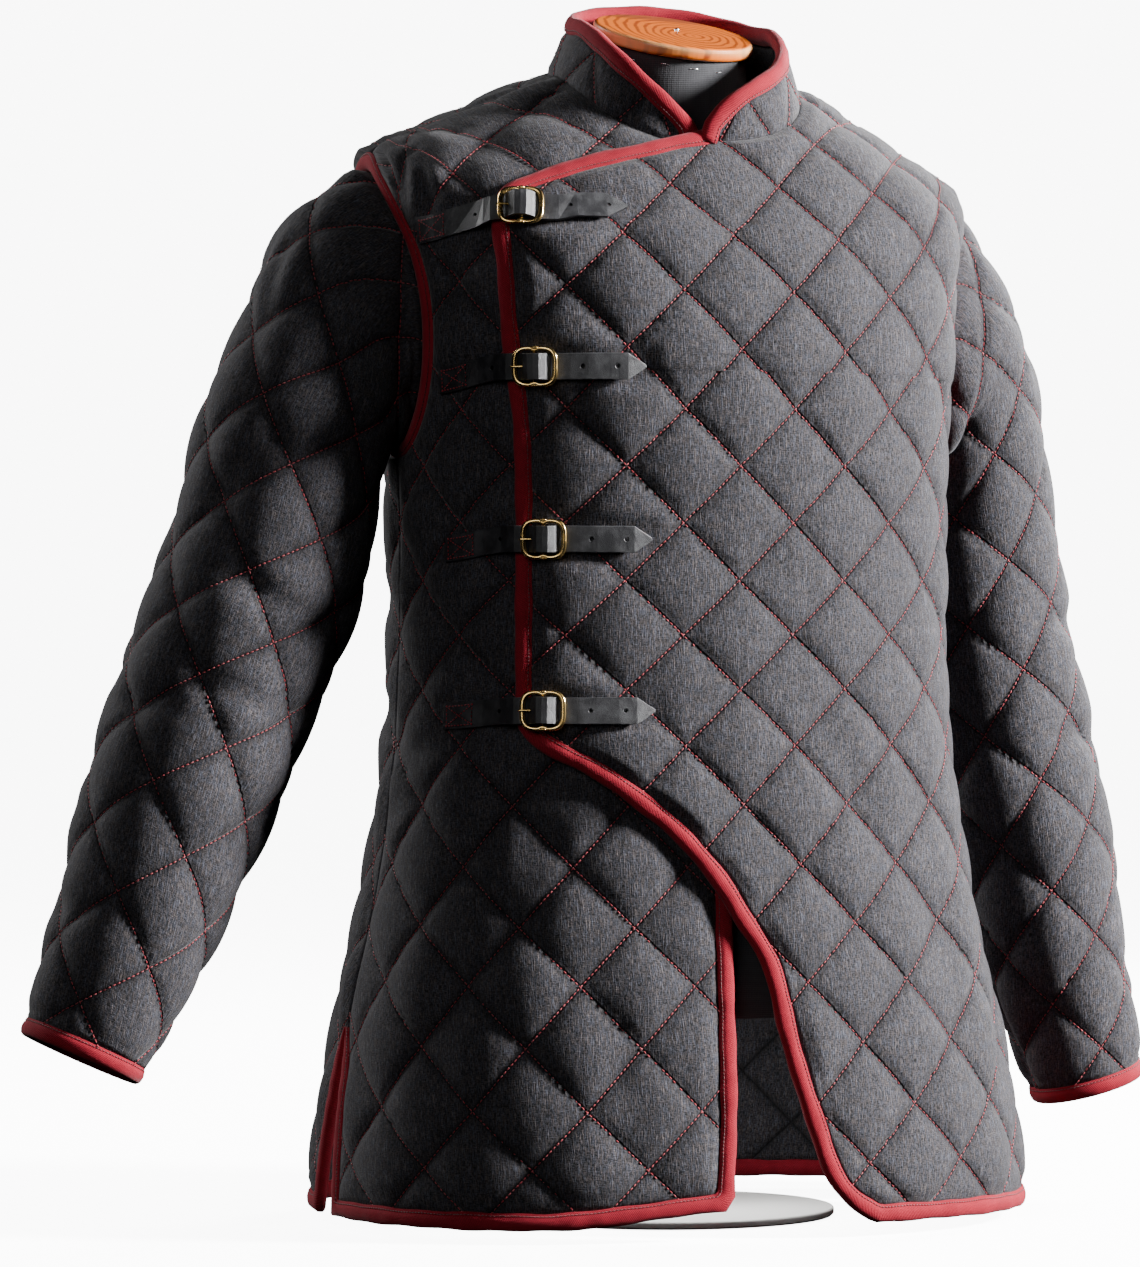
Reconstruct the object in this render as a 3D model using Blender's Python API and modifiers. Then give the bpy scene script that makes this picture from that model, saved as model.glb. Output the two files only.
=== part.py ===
"""Quilted gambeson buckled on a limbless dress form.

Metres, +Z up. The front faces -Y and the wearer's left is +X. The origin is the centre
of the foot plate's underside. The body of the garment is one surface, read by an angle
round the body (0 at centre front, +90 at the wearer's left side) and a level (the height
of that ring at the side seam). Every panel, binding and strap is a stretch of it.
"""

import math
from collections import namedtuple

import bmesh
import bpy
from mathutils import Vector

# Cloth, leather and clearances
QUILT = 0.006
COLLAR_WALL = 0.005
BIND_WIDTH = 0.012
BIND_HALF_HEIGHT = 0.004
SEAM_GAP = 0.0003
SLEEVE_INSET = BIND_WIDTH + QUILT / 2 + 0.0009
STRAP_WIDTH = 0.0185
STRAP_THICK = 0.0025
CHAPE_THICK = 0.0018
HOLE_RADIUS = 0.0014

# Levels of the body surface
HEM = 0.0203
SLIT_TOP = 0.145
UNDERARM = 0.535
SHOULDER_TIP = 0.745
NECKLINE = 0.806

# Cut of the garment
SLIT_OPEN = 0.015
ARMHOLE_FRONT = 23.0
ARMHOLE_BACK = 28.0
OVERLAP_LIFT = 0.0085
SHOULDER_TILT = 0.04
SQUARENESS = 0.03

# Dress form and stand
FORM_CLEARANCE = 0.008
FORM_BOTTOM = 0.150
NECK_RADIUS = 0.053
NECK_LEAN = -0.010
CAP_RADIUS = 0.0575
CAP_THICK = 0.0095
CAP_CENTRE = (0.0, -0.014, 0.8385)
CAP_PITCH = 16.5
CAP_ROLL = 3.5
POLE_RADIUS = 0.0125
PLATE_RADIUS = 0.120
PLATE_THICK = 0.006

# Buckles
BUCKLE_LENGTH = 0.0315
BUCKLE_HEIGHT = 0.0284
BUCKLE_WIRE = 0.0015
BUCKLE_LIFT = 0.0197
BUCKLE_SQUARE = 0.52
PRONG_RADIUS = 0.0009

BodyRing = namedtuple("BodyRing", "level side front back middle front_rise back_rise")
BODY_RINGS = (
    BodyRing(0.000, 0.254, 0.200, 0.192, 0.000, 0.000, 0.000),
    BodyRing(0.070, 0.247, 0.190, 0.182, 0.000, 0.000, 0.000),
    BodyRing(0.150, 0.233, 0.177, 0.168, 0.000, 0.000, 0.000),
    BodyRing(0.230, 0.215, 0.163, 0.153, 0.000, 0.000, 0.000),
    BodyRing(0.310, 0.203, 0.151, 0.140, 0.000, 0.000, 0.000),
    BodyRing(0.390, 0.198, 0.145, 0.132, 0.000, 0.000, 0.000),
    BodyRing(0.470, 0.196, 0.146, 0.131, 0.002, 0.000, 0.000),
    BodyRing(0.550, 0.198, 0.152, 0.135, 0.004, 0.000, 0.000),
    BodyRing(0.620, 0.204, 0.157, 0.134, 0.008, -0.006, 0.000),
    BodyRing(0.680, 0.210, 0.158, 0.127, 0.014, -0.022, 0.003),
    BodyRing(0.725, 0.217, 0.156, 0.115, 0.020, -0.042, 0.008),
    BodyRing(0.745, 0.213, 0.150, 0.107, 0.020, -0.052, 0.010),
    BodyRing(0.760, 0.188, 0.139, 0.099, 0.014, -0.056, 0.012),
    BodyRing(0.783, 0.137, 0.114, 0.086, 0.000, -0.056, 0.015),
    BodyRing(0.806, 0.087, 0.086, 0.074, -0.012, -0.0525, 0.016),
)

# Left front's free edge, from the hem round the cutaway curve, up and along the top
EdgePoint = namedtuple("EdgePoint", "level angle")
LEFT_EDGE = (
    EdgePoint(0.0203, 17.0),
    EdgePoint(0.0300, 13.8),
    EdgePoint(0.0460, 11.2),
    EdgePoint(0.0770, 9.2),
    EdgePoint(0.1110, 7.2),
    EdgePoint(0.1450, 5.6),
    EdgePoint(0.1640, 5.0),
    EdgePoint(0.1870, 3.9),
    EdgePoint(0.2030, 2.2),
    EdgePoint(0.2210, -0.4),
    EdgePoint(0.2420, -3.2),
    EdgePoint(0.2630, -7.0),
    EdgePoint(0.2860, -12.3),
    EdgePoint(0.3070, -19.0),
    EdgePoint(0.3180, -23.0),
    EdgePoint(0.3290, -28.0),
    EdgePoint(0.3400, -34.5),
    EdgePoint(0.3500, -39.0),
    EdgePoint(0.3600, -40.5),
    EdgePoint(0.5500, -41.2),
    EdgePoint(0.6250, -42.5),
    EdgePoint(0.7000, -41.5),
    EdgePoint(0.7420, -40.0),
    EdgePoint(0.7530, -38.6),
    EdgePoint(0.7650, -36.2),
    EdgePoint(0.7770, -32.0),
    EdgePoint(0.7870, -25.6),
    EdgePoint(0.7990, -14.0),
    EdgePoint(0.8060, -1.0),
)

# Rows of the panels; those beside an armhole stand at even turns round it
ARMHOLE_MIDDLE = (SHOULDER_TIP + UNDERARM) / 2
ARMHOLE_HALF = (SHOULDER_TIP - UNDERARM) / 2
ARMHOLE_TURNS = tuple(math.radians(turn) for turn in range(-90, 91, 18))
ARMHOLE_LEVELS = tuple(ARMHOLE_MIDDLE + ARMHOLE_HALF * math.sin(turn) for turn in ARMHOLE_TURNS)
SKIRT_LEVELS = (HEM, 0.050, 0.080, 0.112, 0.130, 0.140, SLIT_TOP, 0.180, 0.220, 0.265, 0.310, 0.355)
WAIST_LEVELS = (0.400, 0.445, 0.490)
YOKE_LEVELS = (0.753, 0.765, 0.777, 0.787, 0.797, NECKLINE)
PLAIN_LEVELS = SKIRT_LEVELS + WAIST_LEVELS + ARMHOLE_LEVELS + YOKE_LEVELS

# Right front's free edge under the overlap, and its rows
RIGHT_EDGE = (
    EdgePoint(0.0203, -6.8),
    EdgePoint(0.1100, -5.8),
    EdgePoint(0.6800, -5.4),
    EdgePoint(0.7600, -7.0),
    EdgePoint(0.8060, -10.0),
)

SleeveRing = namedtuple("SleeveRing", "out y level lean across deep")
RIGHT_SLEEVE = (
    SleeveRing(0.206, 0.012, 0.642, 89, 0.089, 0.044),
    SleeveRing(0.217, 0.011, 0.640, 85, 0.088, 0.045),
    SleeveRing(0.238, 0.010, 0.624, 66, 0.080, 0.058),
    SleeveRing(0.257, 0.008, 0.593, 44, 0.066, 0.063),
    SleeveRing(0.276, 0.006, 0.548, 28, 0.064, 0.065),
    SleeveRing(0.2935, 0.004, 0.473, 19, 0.066, 0.066),
    SleeveRing(0.319, 0.002, 0.4065, 20, 0.066, 0.065),
    SleeveRing(0.3457, 0.000, 0.339, 20, 0.0635, 0.063),
    SleeveRing(0.3666, -0.004, 0.288, 21, 0.0605, 0.060),
    SleeveRing(0.3865, -0.008, 0.236, 22, 0.054, 0.055),
    SleeveRing(0.411, -0.012, 0.177, 24, 0.047, 0.048),
    SleeveRing(0.4305, -0.014, 0.133, 25, 0.041, 0.042),
)
LEFT_SLEEVE = (
    SleeveRing(0.206, 0.012, 0.642, 89, 0.089, 0.044),
    SleeveRing(0.216, 0.014, 0.636, 85, 0.083, 0.046),
    SleeveRing(0.230, 0.020, 0.613, 75, 0.071, 0.056),
    SleeveRing(0.243, 0.034, 0.590, 55, 0.058, 0.060),
    SleeveRing(0.254, 0.050, 0.548, 36, 0.056, 0.063),
    SleeveRing(0.262, 0.066, 0.487, 20, 0.060, 0.067),
    SleeveRing(0.277, 0.075, 0.4027, 12, 0.061, 0.067),
    SleeveRing(0.2945, 0.072, 0.320, 13, 0.060, 0.064),
    SleeveRing(0.3115, 0.065, 0.254, 13, 0.056, 0.059),
    SleeveRing(0.3215, 0.057, 0.190, 14, 0.050, 0.053),
    SleeveRing(0.337, 0.053, 0.130, 15, 0.043, 0.046),
    SleeveRing(0.3475, 0.050, 0.089, 16, 0.0385, 0.040),
)
SLEEVE_STEPS = (0, 0.5, 1, 1.5, 2, 2.5, 3, 3.6, 4.3, 5, 6, 7, 8, 9, 10, 11)

# Straps: where the sewn end, buckle and tip lie round the body, and their heights
Strap = namedtuple("Strap", "sewn_angle sewn_z buckle_angle z tip_angle")
STRAPS = (
    Strap(-66.5, 0.6960, -38.2, 0.7035, -19.8),
    Strap(-65.5, 0.5910, -38.9, 0.5995, -17.9),
    Strap(-65.5, 0.4740, -38.0, 0.4810, -17.0),
    Strap(-65.0, 0.3575, -37.8, 0.3615, -16.4),
)
STRAP_PLACES = (-0.030, -0.024, -0.019, -0.0155, -0.0125, -0.009, -0.006, -0.003, 0.0)
STRAP_PLACES += (0.003, 0.006, 0.009, 0.0125, 0.0155, 0.022, 0.032, 0.045, 0.058)
HOLE_PLACES = (-0.0315, 0.0285, 0.0485)
PRONG_HINGE = 0.0042
PRONG_RISE = 0.0012
CHAPE_TAIL = (0.008, 0.0155, 0.025, 0.036)
CHAPE_REST = 0.0008

# Collar: degrees round the neck from its right end, then its cloth's place on the neckline
COLLAR_START = -15.0
COLLAR_TURN = 344.3
COLLAR_TURNS = (
    0, 5, 11, 18, 26, 36, 50, 66, 84, 104, 125, 146, 167, 188, 209, 230, 252, 272, 289,
    303, 314, 323, 330.5, 336.5, 340.7, 344.3,
)
COLLAR_LOWEST = 0.003
COLLAR_STAND = 0.025
COLLAR_FOOT = 0.0062
RIGHT_END_CURVE = 19.0
LEFT_END_CURVE = 11.0

# Rings of the form's shoulders and of its neck
FORM_LEVELS = (
    FORM_BOTTOM, 0.21, 0.27, 0.33, 0.40, 0.48, 0.56, 0.63, 0.69, 0.725, 0.745, 0.762, 0.783, 0.800,
)
FORM_TURN = 18
NECK_RINGS = ((0.806, NECK_RADIUS + 0.005), (0.820, NECK_RADIUS + 0.001))

COLLECTION = "gambeson"
CUTTERS = "gambeson_cutters"

LINEN = ("quilted_linen", (0.035, 0.035, 0.040), 0.85, 0.0)
WOOL = ("red_binding", (0.330, 0.018, 0.035), 0.80, 0.0)
LEATHER = ("black_leather", (0.018, 0.018, 0.020), 0.45, 0.0)
BRASS = ("brass", (0.780, 0.560, 0.250), 0.28, 1.0)
JERSEY = ("form_jersey", (0.020, 0.020, 0.024), 0.90, 0.0)
PINE = ("pine", (0.720, 0.360, 0.110), 0.45, 0.0)
STEEL = ("white_steel", (0.800, 0.790, 0.770), 0.40, 0.0)


def smooth(value):
    """Ease from 0 to 1 with level ends."""
    value = min(max(value, 0.0), 1.0)
    return value * value * (3.0 - 2.0 * value)


def blend_rows(table, key):
    """Read a table of rows at a fractional place, its first column rising evenly or not."""
    index = 0
    while index < len(table) - 2 and key > table[index + 1][0]:
        index += 1
    low, high = table[index], table[index + 1]
    before = table[max(index - 1, 0)]
    after = table[min(index + 2, len(table) - 1)]
    span = high[0] - low[0]
    part = (key - low[0]) / span
    square, cube = part * part, part * part * part
    values = []
    for column in range(1, len(low)):
        slope_low = (high[column] - before[column]) / (high[0] - before[0])
        slope_high = (after[column] - low[column]) / (after[0] - low[0])
        values.append(
            (2 * cube - 3 * square + 1) * low[column]
            + (cube - 2 * square + part) * span * slope_low
            + (3 * square - 2 * cube) * high[column]
            + (cube - square) * span * slope_high
        )
    return values


def straight(table, key):
    """Read a two-column table with straight lines between its rows."""
    for low, high in zip(table, table[1:]):
        if key <= high[0]:
            break
    part = min(max((key - low[0]) / (high[0] - low[0]), 0.0), 1.0)
    return low[1] + (high[1] - low[1]) * part


def body_point(angle, level):
    """A point of the garment's middle surface."""
    side, front, back, middle, front_rise, back_rise = blend_rows(BODY_RINGS, level)
    turn = math.radians(angle)
    across = (math.sin(turn) + SQUARENESS * math.sin(3 * turn)) / (1 - SQUARENESS)
    along = (math.cos(turn) - SQUARENESS * math.cos(3 * turn)) / (1 - SQUARENESS)
    facing = math.cos(turn)
    depth, rise = (front, front_rise) if facing > 0 else (back, back_rise)
    x = side * across
    tilt = SHOULDER_TILT * x * abs(x) / 0.22 * smooth((level - 0.4) / 0.3)
    return Vector((x, middle - depth * along, level + rise * abs(facing) ** 1.4 - tilt))


def body_normal(angle, level):
    """The outward direction of the garment's middle surface."""
    turn, step = 0.5, 0.0008
    around = body_point(angle + turn, level) - body_point(angle - turn, level)
    top = min(level + step, NECKLINE)
    upward = body_point(angle, top) - body_point(angle, level - step)
    return around.cross(upward).normalized()


def body_lifted(angle, level, lift):
    return body_point(angle, level) + body_normal(angle, level) * lift


def level_at_height(angle, height):
    """The level whose ring passes a height at an angle."""
    low, high = 0.0, NECKLINE
    for _ in range(30):
        middle = (low + high) / 2
        if body_point(angle, middle).z < height:
            low = middle
        else:
            high = middle
    return (low + high) / 2


def turn_for(length, level):
    """Degrees round the side of the body that a length takes up."""
    front = blend_rows(BODY_RINGS, level)[1]
    speed = front * (1 + 3 * SQUARENESS) / (1 - SQUARENESS)
    return math.degrees(length / speed)


def slit_binding(level):
    """Width of the slit's binding, tapering to nothing at the slit's top."""
    return 0.0015 + (BIND_WIDTH - 0.0015) * smooth((SLIT_TOP - level) / 0.035)


def side_turn(level):
    """Degrees from the side line to a panel's edge: seam, slit or shoulder seam."""
    if level >= SLIT_TOP:
        return turn_for(SEAM_GAP / 2, level)
    opening = SLIT_OPEN * (SLIT_TOP - level) / (SLIT_TOP - HEM)
    return turn_for(SEAM_GAP * 1.5 + opening + slit_binding(level), level)


def armhole_turn(level, width, inset=0.0):
    """Half the armhole's turn at a level, for its front or back half."""
    across = (level - ARMHOLE_MIDDLE) / (ARMHOLE_HALF - inset)
    return width * math.sqrt(max(1.0 - across * across, 0.0))


def panel_side(level, width):
    """Degrees from the side line to a panel's edge, armhole included."""
    if UNDERARM < level < SHOULDER_TIP:
        return max(armhole_turn(level, width), side_turn(level))
    return side_turn(level)


def front_lift(angle):
    """How far the overlapping left front stands out over the right front."""
    return OVERLAP_LIFT * (1.0 - smooth((angle - 4.0) / 74.0))


def no_lift(_angle):
    return 0.0


def right_hem(angle, level):
    """The right front's hem climbs a little towards its corner."""
    climb = 0.013 * smooth((angle + 34.0) / 34.0)
    return level + climb * (1.0 - smooth((level - HEM) / 0.06))


def make_material(spec):
    name, colour, roughness, metallic = spec
    material = bpy.data.materials.get(name)
    if material is None:
        material = bpy.data.materials.new(name)
        material.use_nodes = True
        shader = material.node_tree.nodes["Principled BSDF"]
        shader.inputs["Base Color"].default_value = (*colour, 1.0)
        shader.inputs["Roughness"].default_value = roughness
        shader.inputs["Metallic"].default_value = metallic
    return material


def add_mesh(name, points, faces, spec, collection=COLLECTION):
    mesh = bpy.data.meshes.new(name)
    mesh.from_pydata([tuple(point) for point in points], [], faces)
    mesh.update()
    obj = bpy.data.objects.new(name, mesh)
    bpy.data.collections[collection].objects.link(obj)
    if spec is not None:
        mesh.materials.append(make_material(spec))
        mesh.shade_smooth()
        mesh.set_sharp_from_angle(angle=math.radians(40))
    return obj


def wall(name, outer, inner, spec, ring=False):
    """A closed wall between two like grids of points; a ring's rows close on themselves."""
    rows, columns = len(outer), len(outer[0])
    points = [p for row in outer for p in row] + [p for row in inner for p in row]
    under = rows * columns
    faces = []
    for row in range(rows - 1):
        for column in range(columns if ring else columns - 1):
            a = row * columns + column
            b = row * columns + (column + 1) % columns
            c, d = b + columns, a + columns
            faces.append((a, b, c, d))
            faces.append((d + under, c + under, b + under, a + under))
    for column in range(columns if ring else columns - 1):
        a, b = column, (column + 1) % columns
        faces.append((a, a + under, b + under, b))
        top = (rows - 1) * columns
        faces.append((b + top, b + top + under, a + top + under, a + top))
    if not ring:
        for row in range(rows - 1):
            a, d = row * columns, (row + 1) * columns
            faces.append((d, d + under, a + under, a))
            b, c = a + columns - 1, d + columns - 1
            faces.append((b, b + under, c + under, c))
    return add_mesh(name, points, faces, spec)


def loft(name, sections, spec, closed=False, collection=COLLECTION):
    """A solid through like sections, capped unless it closes on itself."""
    count, size = len(sections), len(sections[0])
    points = [point for section in sections for point in section]
    faces = []
    for index in range(count if closed else count - 1):
        start, after = index * size, ((index + 1) % count) * size
        for corner in range(size):
            following = (corner + 1) % size
            faces.append((start + corner, start + following, after + following, after + corner))
    if not closed:
        faces.append(tuple(reversed(range(size))))
        faces.append(tuple(range((count - 1) * size, count * size)))
    obj = add_mesh(name, points, faces, spec, collection)
    face_outward(obj)
    return obj


def face_outward(obj):
    shape = bmesh.new()
    shape.from_mesh(obj.data)
    bmesh.ops.recalc_face_normals(shape, faces=shape.faces[:])
    shape.to_mesh(obj.data)
    shape.free()


def panel_grid(levels, low_edge, high_edge, columns):
    """Rows of (angle, level) between two edges of a panel."""
    grid = []
    for level in levels:
        low, high = low_edge(level), high_edge(level)
        row = []
        for column in range(columns):
            angle = low + (high - low) * column / (columns - 1)
            row.append((angle, level))
        grid.append(row)
    return grid


def body_panel(name, grid, lift):
    outer, inner = [], []
    for row in grid:
        outer.append([body_lifted(a, l, lift(a) + QUILT / 2) for a, l in row])
        inner.append([body_lifted(a, l, lift(a) - QUILT / 2) for a, l in row])
    return wall(name, outer, inner, LINEN)


def binding_section(centre, across, up, width):
    """Six corners of a rolled binding: full beside the cloth, rounded at its free edge."""
    places = ((-1, 0.80), (-1, -0.80), (0.1, -1.0), (1, -0.42), (1, 0.42), (0.1, 1.0))
    return [centre + across * (u * width / 2) + up * (v * BIND_HALF_HEIGHT) for u, v in places]


def edge_binding(name, edge, widths):
    """A binding along a panel's edge; edge holds (point, normal), cloth on its left."""
    sections = []
    count = len(edge)
    for index, (point, normal) in enumerate(edge):
        ahead = (edge[min(index + 1, count - 1)][0] - point).normalized()
        behind = (point - edge[max(index - 1, 0)][0]).normalized()
        out_ahead = ahead.cross(normal).normalized() if ahead.length else None
        out_behind = behind.cross(normal).normalized() if behind.length else None
        outward = out_ahead or out_behind
        if out_ahead and out_behind:
            outward = (out_ahead + out_behind).normalized()
            stretch = 1.0 / max(outward.dot(out_ahead), 0.6)
        else:
            stretch = 1.0
        width = widths[index]
        centre = point + outward * ((SEAM_GAP + width / 2) * stretch)
        sections.append(binding_section(centre, outward * stretch, normal, width))
    return loft(name, sections, WOOL)


def edge_of(pairs, lift):
    return [(body_lifted(a, l, lift(a)), body_normal(a, l)) for a, l in pairs]


def slit_widths(pairs):
    return [slit_binding(level) for _, level in pairs]


def make_fronts_and_back():
    cut_rows = {row.level for row in LEFT_EDGE if not 0.5 < row.level < SHOULDER_TIP}
    left_levels = sorted(cut_rows | {0.140, SLIT_TOP} | set(WAIST_LEVELS + ARMHOLE_LEVELS))
    left = panel_grid(
        left_levels,
        lambda level: straight(LEFT_EDGE, level),
        lambda level: 90.0 - panel_side(level, ARMHOLE_FRONT),
        13,
    )
    body_panel("left_front", left, front_lift)
    free = [row[0] for row in reversed(left)] + left[0][1:]
    slit = [row[-1] for row in left[1:] if row[-1][1] < SLIT_TOP]
    edge_binding(
        "left_front_binding",
        edge_of(free + slit, front_lift),
        [BIND_WIDTH] * len(free) + slit_widths(slit),
    )

    right = panel_grid(
        PLAIN_LEVELS,
        lambda level: panel_side(level, ARMHOLE_FRONT) - 90.0,
        lambda level: straight(RIGHT_EDGE, level),
        10,
    )
    right = [[(angle, right_hem(angle, level)) for angle, level in row] for row in right]
    body_panel("right_front", right, no_lift)
    slit = [row[0] for row in reversed(right[1:]) if row[0][1] < SLIT_TOP]
    rest = right[0] + [row[-1] for row in right[1:]]
    edge_binding(
        "right_front_binding",
        edge_of(slit + rest, no_lift),
        slit_widths(slit) + [BIND_WIDTH] * len(rest),
    )

    back = panel_grid(
        PLAIN_LEVELS,
        lambda level: 90.0 + panel_side(level, ARMHOLE_BACK),
        lambda level: 270.0 - panel_side(level, ARMHOLE_BACK),
        17,
    )
    body_panel("back", back, no_lift)
    first_slit = [row[0] for row in reversed(back[1:]) if row[0][1] < SLIT_TOP]
    last_slit = [row[-1] for row in back[1:] if row[-1][1] < SLIT_TOP]
    edge_binding(
        "back_binding",
        edge_of(first_slit + back[0] + last_slit, no_lift),
        slit_widths(first_slit) + [BIND_WIDTH] * len(back[0]) + slit_widths(last_slit),
    )


def armhole_place(side, turn, inset):
    """Angle and level on the armhole's edge, drawn in by an inset; turn 0 is its front."""
    forward, up = math.cos(turn), math.sin(turn)
    width = ARMHOLE_FRONT if forward > 0 else ARMHOLE_BACK
    width -= math.degrees(inset / 0.160)
    level = ARMHOLE_MIDDLE + (ARMHOLE_HALF - inset) * up
    return side * (90.0 - width * forward), level


def armhole_round():
    """Turns all the way round an armhole, at the rows of the panels beside it."""
    return list(ARMHOLE_TURNS) + [math.pi - turn for turn in reversed(ARMHOLE_TURNS[1:-1])]


def make_armhole_binding(side, name):
    sections = []
    for turn in armhole_round():
        near = armhole_place(side, turn, SEAM_GAP * 3)
        far = armhole_place(side, turn, BIND_WIDTH)
        low, high = body_lifted(*near, 0.0), body_lifted(*far, 0.0)
        lift = front_lift(near[0]) if side > 0 and abs(near[0]) < 90 else 0.0
        normal = body_normal(*near)
        centre = (low + high) / 2 + normal * lift
        across = high - low
        sections.append(binding_section(centre, across.normalized(), normal, across.length))
    loft(name, sections, WOOL, closed=True)


def sleeve_point(side, table, place, turn, lift):
    """A point of a sleeve; place counts the table's rows, turn 0 faces front, 90 outward."""
    rows = [(index, *row) for index, row in enumerate(table)]
    out, y, level, lean, across, deep = blend_rows(rows, place)
    lean = math.radians(lean)
    over = Vector((side * math.cos(lean), 0.0, math.sin(lean)))
    centre = Vector((side * out, y, level))
    round_y, round_over = -math.cos(turn), math.sin(turn)
    point = centre + over * ((across + lift) * round_over)
    point.y += (deep + lift) * round_y
    settle = 1.0 - smooth(place / 3.2)
    if settle > 0.0:
        first = table[0]
        base_lean = math.radians(first.lean)
        base_over = Vector((side * math.cos(base_lean), 0.0, math.sin(base_lean)))
        base = Vector((side * first.out, first.y, first.level))
        base += base_over * (first.across * round_over)
        base.y += first.deep * round_y
        seam = body_lifted(*armhole_place(side, turn, SLEEVE_INSET), 0.0)
        point += (seam - base) * settle
    return point


def make_sleeve(side, table, name, binding_name):
    turns = armhole_round()
    outer, inner = [], []
    for place in SLEEVE_STEPS:
        outer.append([sleeve_point(side, table, place, turn, QUILT / 2) for turn in turns])
        inner.append([sleeve_point(side, table, place, turn, -QUILT / 2) for turn in turns])
    face_outward(wall(name, outer, inner, LINEN, ring=True))
    last = table[-1]
    lean = math.radians(last.lean)
    down = Vector((side * math.sin(lean), 0.0, -math.cos(lean)))
    sections = []
    for turn in turns:
        middle = sleeve_point(side, table, len(table) - 1, turn, 0.0)
        outside = sleeve_point(side, table, len(table) - 1, turn, 0.003)
        normal = (outside - middle).normalized()
        centre = middle + down * (SEAM_GAP + BIND_WIDTH / 2)
        sections.append(binding_section(centre, down, normal, BIND_WIDTH))
    loft(binding_name, sections, WOOL, closed=True)


def collar_height(turn):
    """Height of the collar's cloth at a turn from its right end, in degrees."""
    from_right, from_left = turn, COLLAR_TURN - turn
    right = 1.0 - math.exp(-from_right / RIGHT_END_CURVE)
    left = 1.0 - math.exp(-from_left / LEFT_END_CURVE)
    return COLLAR_LOWEST + COLLAR_STAND * min(right, left)


def collar_frame(turn):
    """The collar's base point, its rise and its outward direction."""
    angle = COLLAR_START - turn
    if angle < -180.0:
        angle += 360.0
    lift = front_lift(angle) if 0.0 < angle < 90.0 else 0.0
    base = body_lifted(angle, NECKLINE, lift)
    radial = Vector((math.sin(math.radians(angle)), -math.cos(math.radians(angle)), 0.0))
    rise = Vector((-0.42 * radial.x, -0.12 * radial.y - 0.18, 1.0)).normalized()
    return base, rise, radial


def make_collar():
    frames = [collar_frame(turn) for turn in COLLAR_TURNS]
    outer, inner, top = [], [], []
    for index, turn in enumerate(COLLAR_TURNS):
        base, rise, radial = frames[index]
        ahead = frames[min(index + 1, len(frames) - 1)][0]
        along = (ahead - frames[max(index - 1, 0)][0]).normalized()
        normal = along.cross(rise).normalized()
        if normal.dot(radial) < 0:
            normal = -normal
        foot = base + rise * COLLAR_FOOT
        height = collar_height(turn)
        middle = [foot + rise * (height * part) for part in (0, 0.5, 1)]
        outer.append([point + normal * (COLLAR_WALL / 2) for point in middle])
        inner.append([point - normal * (COLLAR_WALL / 2) for point in middle])
        top.append((middle[-1], normal))
    face_outward(wall("collar", outer, inner, LINEN))
    edge_binding("collar_binding", top, [BIND_WIDTH] * len(top))


def make_form():
    """The form's body follows the garment from inside and narrows to its neck."""
    turns = range(0, 360, FORM_TURN)
    sections = []
    for level in FORM_LEVELS:
        section = [body_lifted(turn, level, -FORM_CLEARANCE) for turn in turns]
        if level == FORM_BOTTOM:
            for point in section:
                point.z = FORM_BOTTOM
        sections.append(section)
    neck_top = CAP_CENTRE[2] - CAP_THICK / 2 - SEAM_GAP
    pitch, roll = math.radians(CAP_PITCH), math.radians(CAP_ROLL)
    for height, radius in NECK_RINGS + ((neck_top, NECK_RADIUS),):
        section = []
        share = smooth((height - 0.796) / 0.026)
        for turn in turns:
            angle = math.radians(turn)
            x, y = radius * math.sin(angle), -radius * math.cos(angle)
            tilt = y * math.tan(pitch) - x * math.tan(roll)
            base = body_lifted(turn, FORM_LEVELS[-1], -FORM_CLEARANCE).z - FORM_LEVELS[-1]
            section.append(Vector((x, y + NECK_LEAN, height + tilt * share + base * (1 - share))))
        sections.append(section)
    loft("form_torso", sections, JERSEY)
    make_cap(pitch, roll)
    bpy.ops.mesh.primitive_cylinder_add(
        vertices=20,
        radius=POLE_RADIUS,
        depth=FORM_BOTTOM - PLATE_THICK - 2 * SEAM_GAP,
        location=(0, 0, (FORM_BOTTOM + PLATE_THICK) / 2),
    )
    adopt_active("form_pole", STEEL)
    bpy.ops.mesh.primitive_cylinder_add(
        vertices=40,
        radius=PLATE_RADIUS,
        depth=PLATE_THICK,
        location=(0, 0, PLATE_THICK / 2),
    )
    adopt_active("form_base", STEEL)


def make_cap(pitch, roll):
    bpy.ops.mesh.primitive_cylinder_add(vertices=32, radius=CAP_RADIUS, depth=CAP_THICK)
    cap = adopt_active("form_neck_cap", PINE)
    cap.location = CAP_CENTRE
    cap.rotation_euler = (pitch, roll, 0.0)
    bevel = cap.modifiers.new("rounded_rim", "BEVEL")
    bevel.width = 0.0025
    bevel.segments = 2
    bevel.limit_method = "ANGLE"


def adopt_active(name, spec):
    """Name the primitive just added and move it to the object's collection."""
    obj = bpy.context.active_object
    for holder in list(obj.users_collection):
        holder.objects.unlink(obj)
    bpy.data.collections[COLLECTION].objects.link(obj)
    obj.name = name
    obj.data.name = name
    obj.data.materials.append(make_material(spec))
    obj.data.shade_smooth()
    obj.data.set_sharp_from_angle(angle=math.radians(40))
    return obj


def line_frame(strap, angle):
    """A point of the body on a strap's line, with its along, up and outward directions."""
    share = smooth((strap.buckle_angle - 8.0 - angle) / (strap.buckle_angle - 8.0 - strap.sewn_angle))
    height = strap.z + (strap.sewn_z - strap.z) * share
    step = 0.25
    point = body_point(angle, level_at_height(angle, height))
    ahead = body_point(angle + step, level_at_height(angle + step, height))
    behind = body_point(angle - step, level_at_height(angle - step, height))
    normal = body_normal(angle, level_at_height(angle, height))
    along = (ahead - behind).normalized()
    return point, along, normal.cross(along).normalized(), normal


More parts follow.
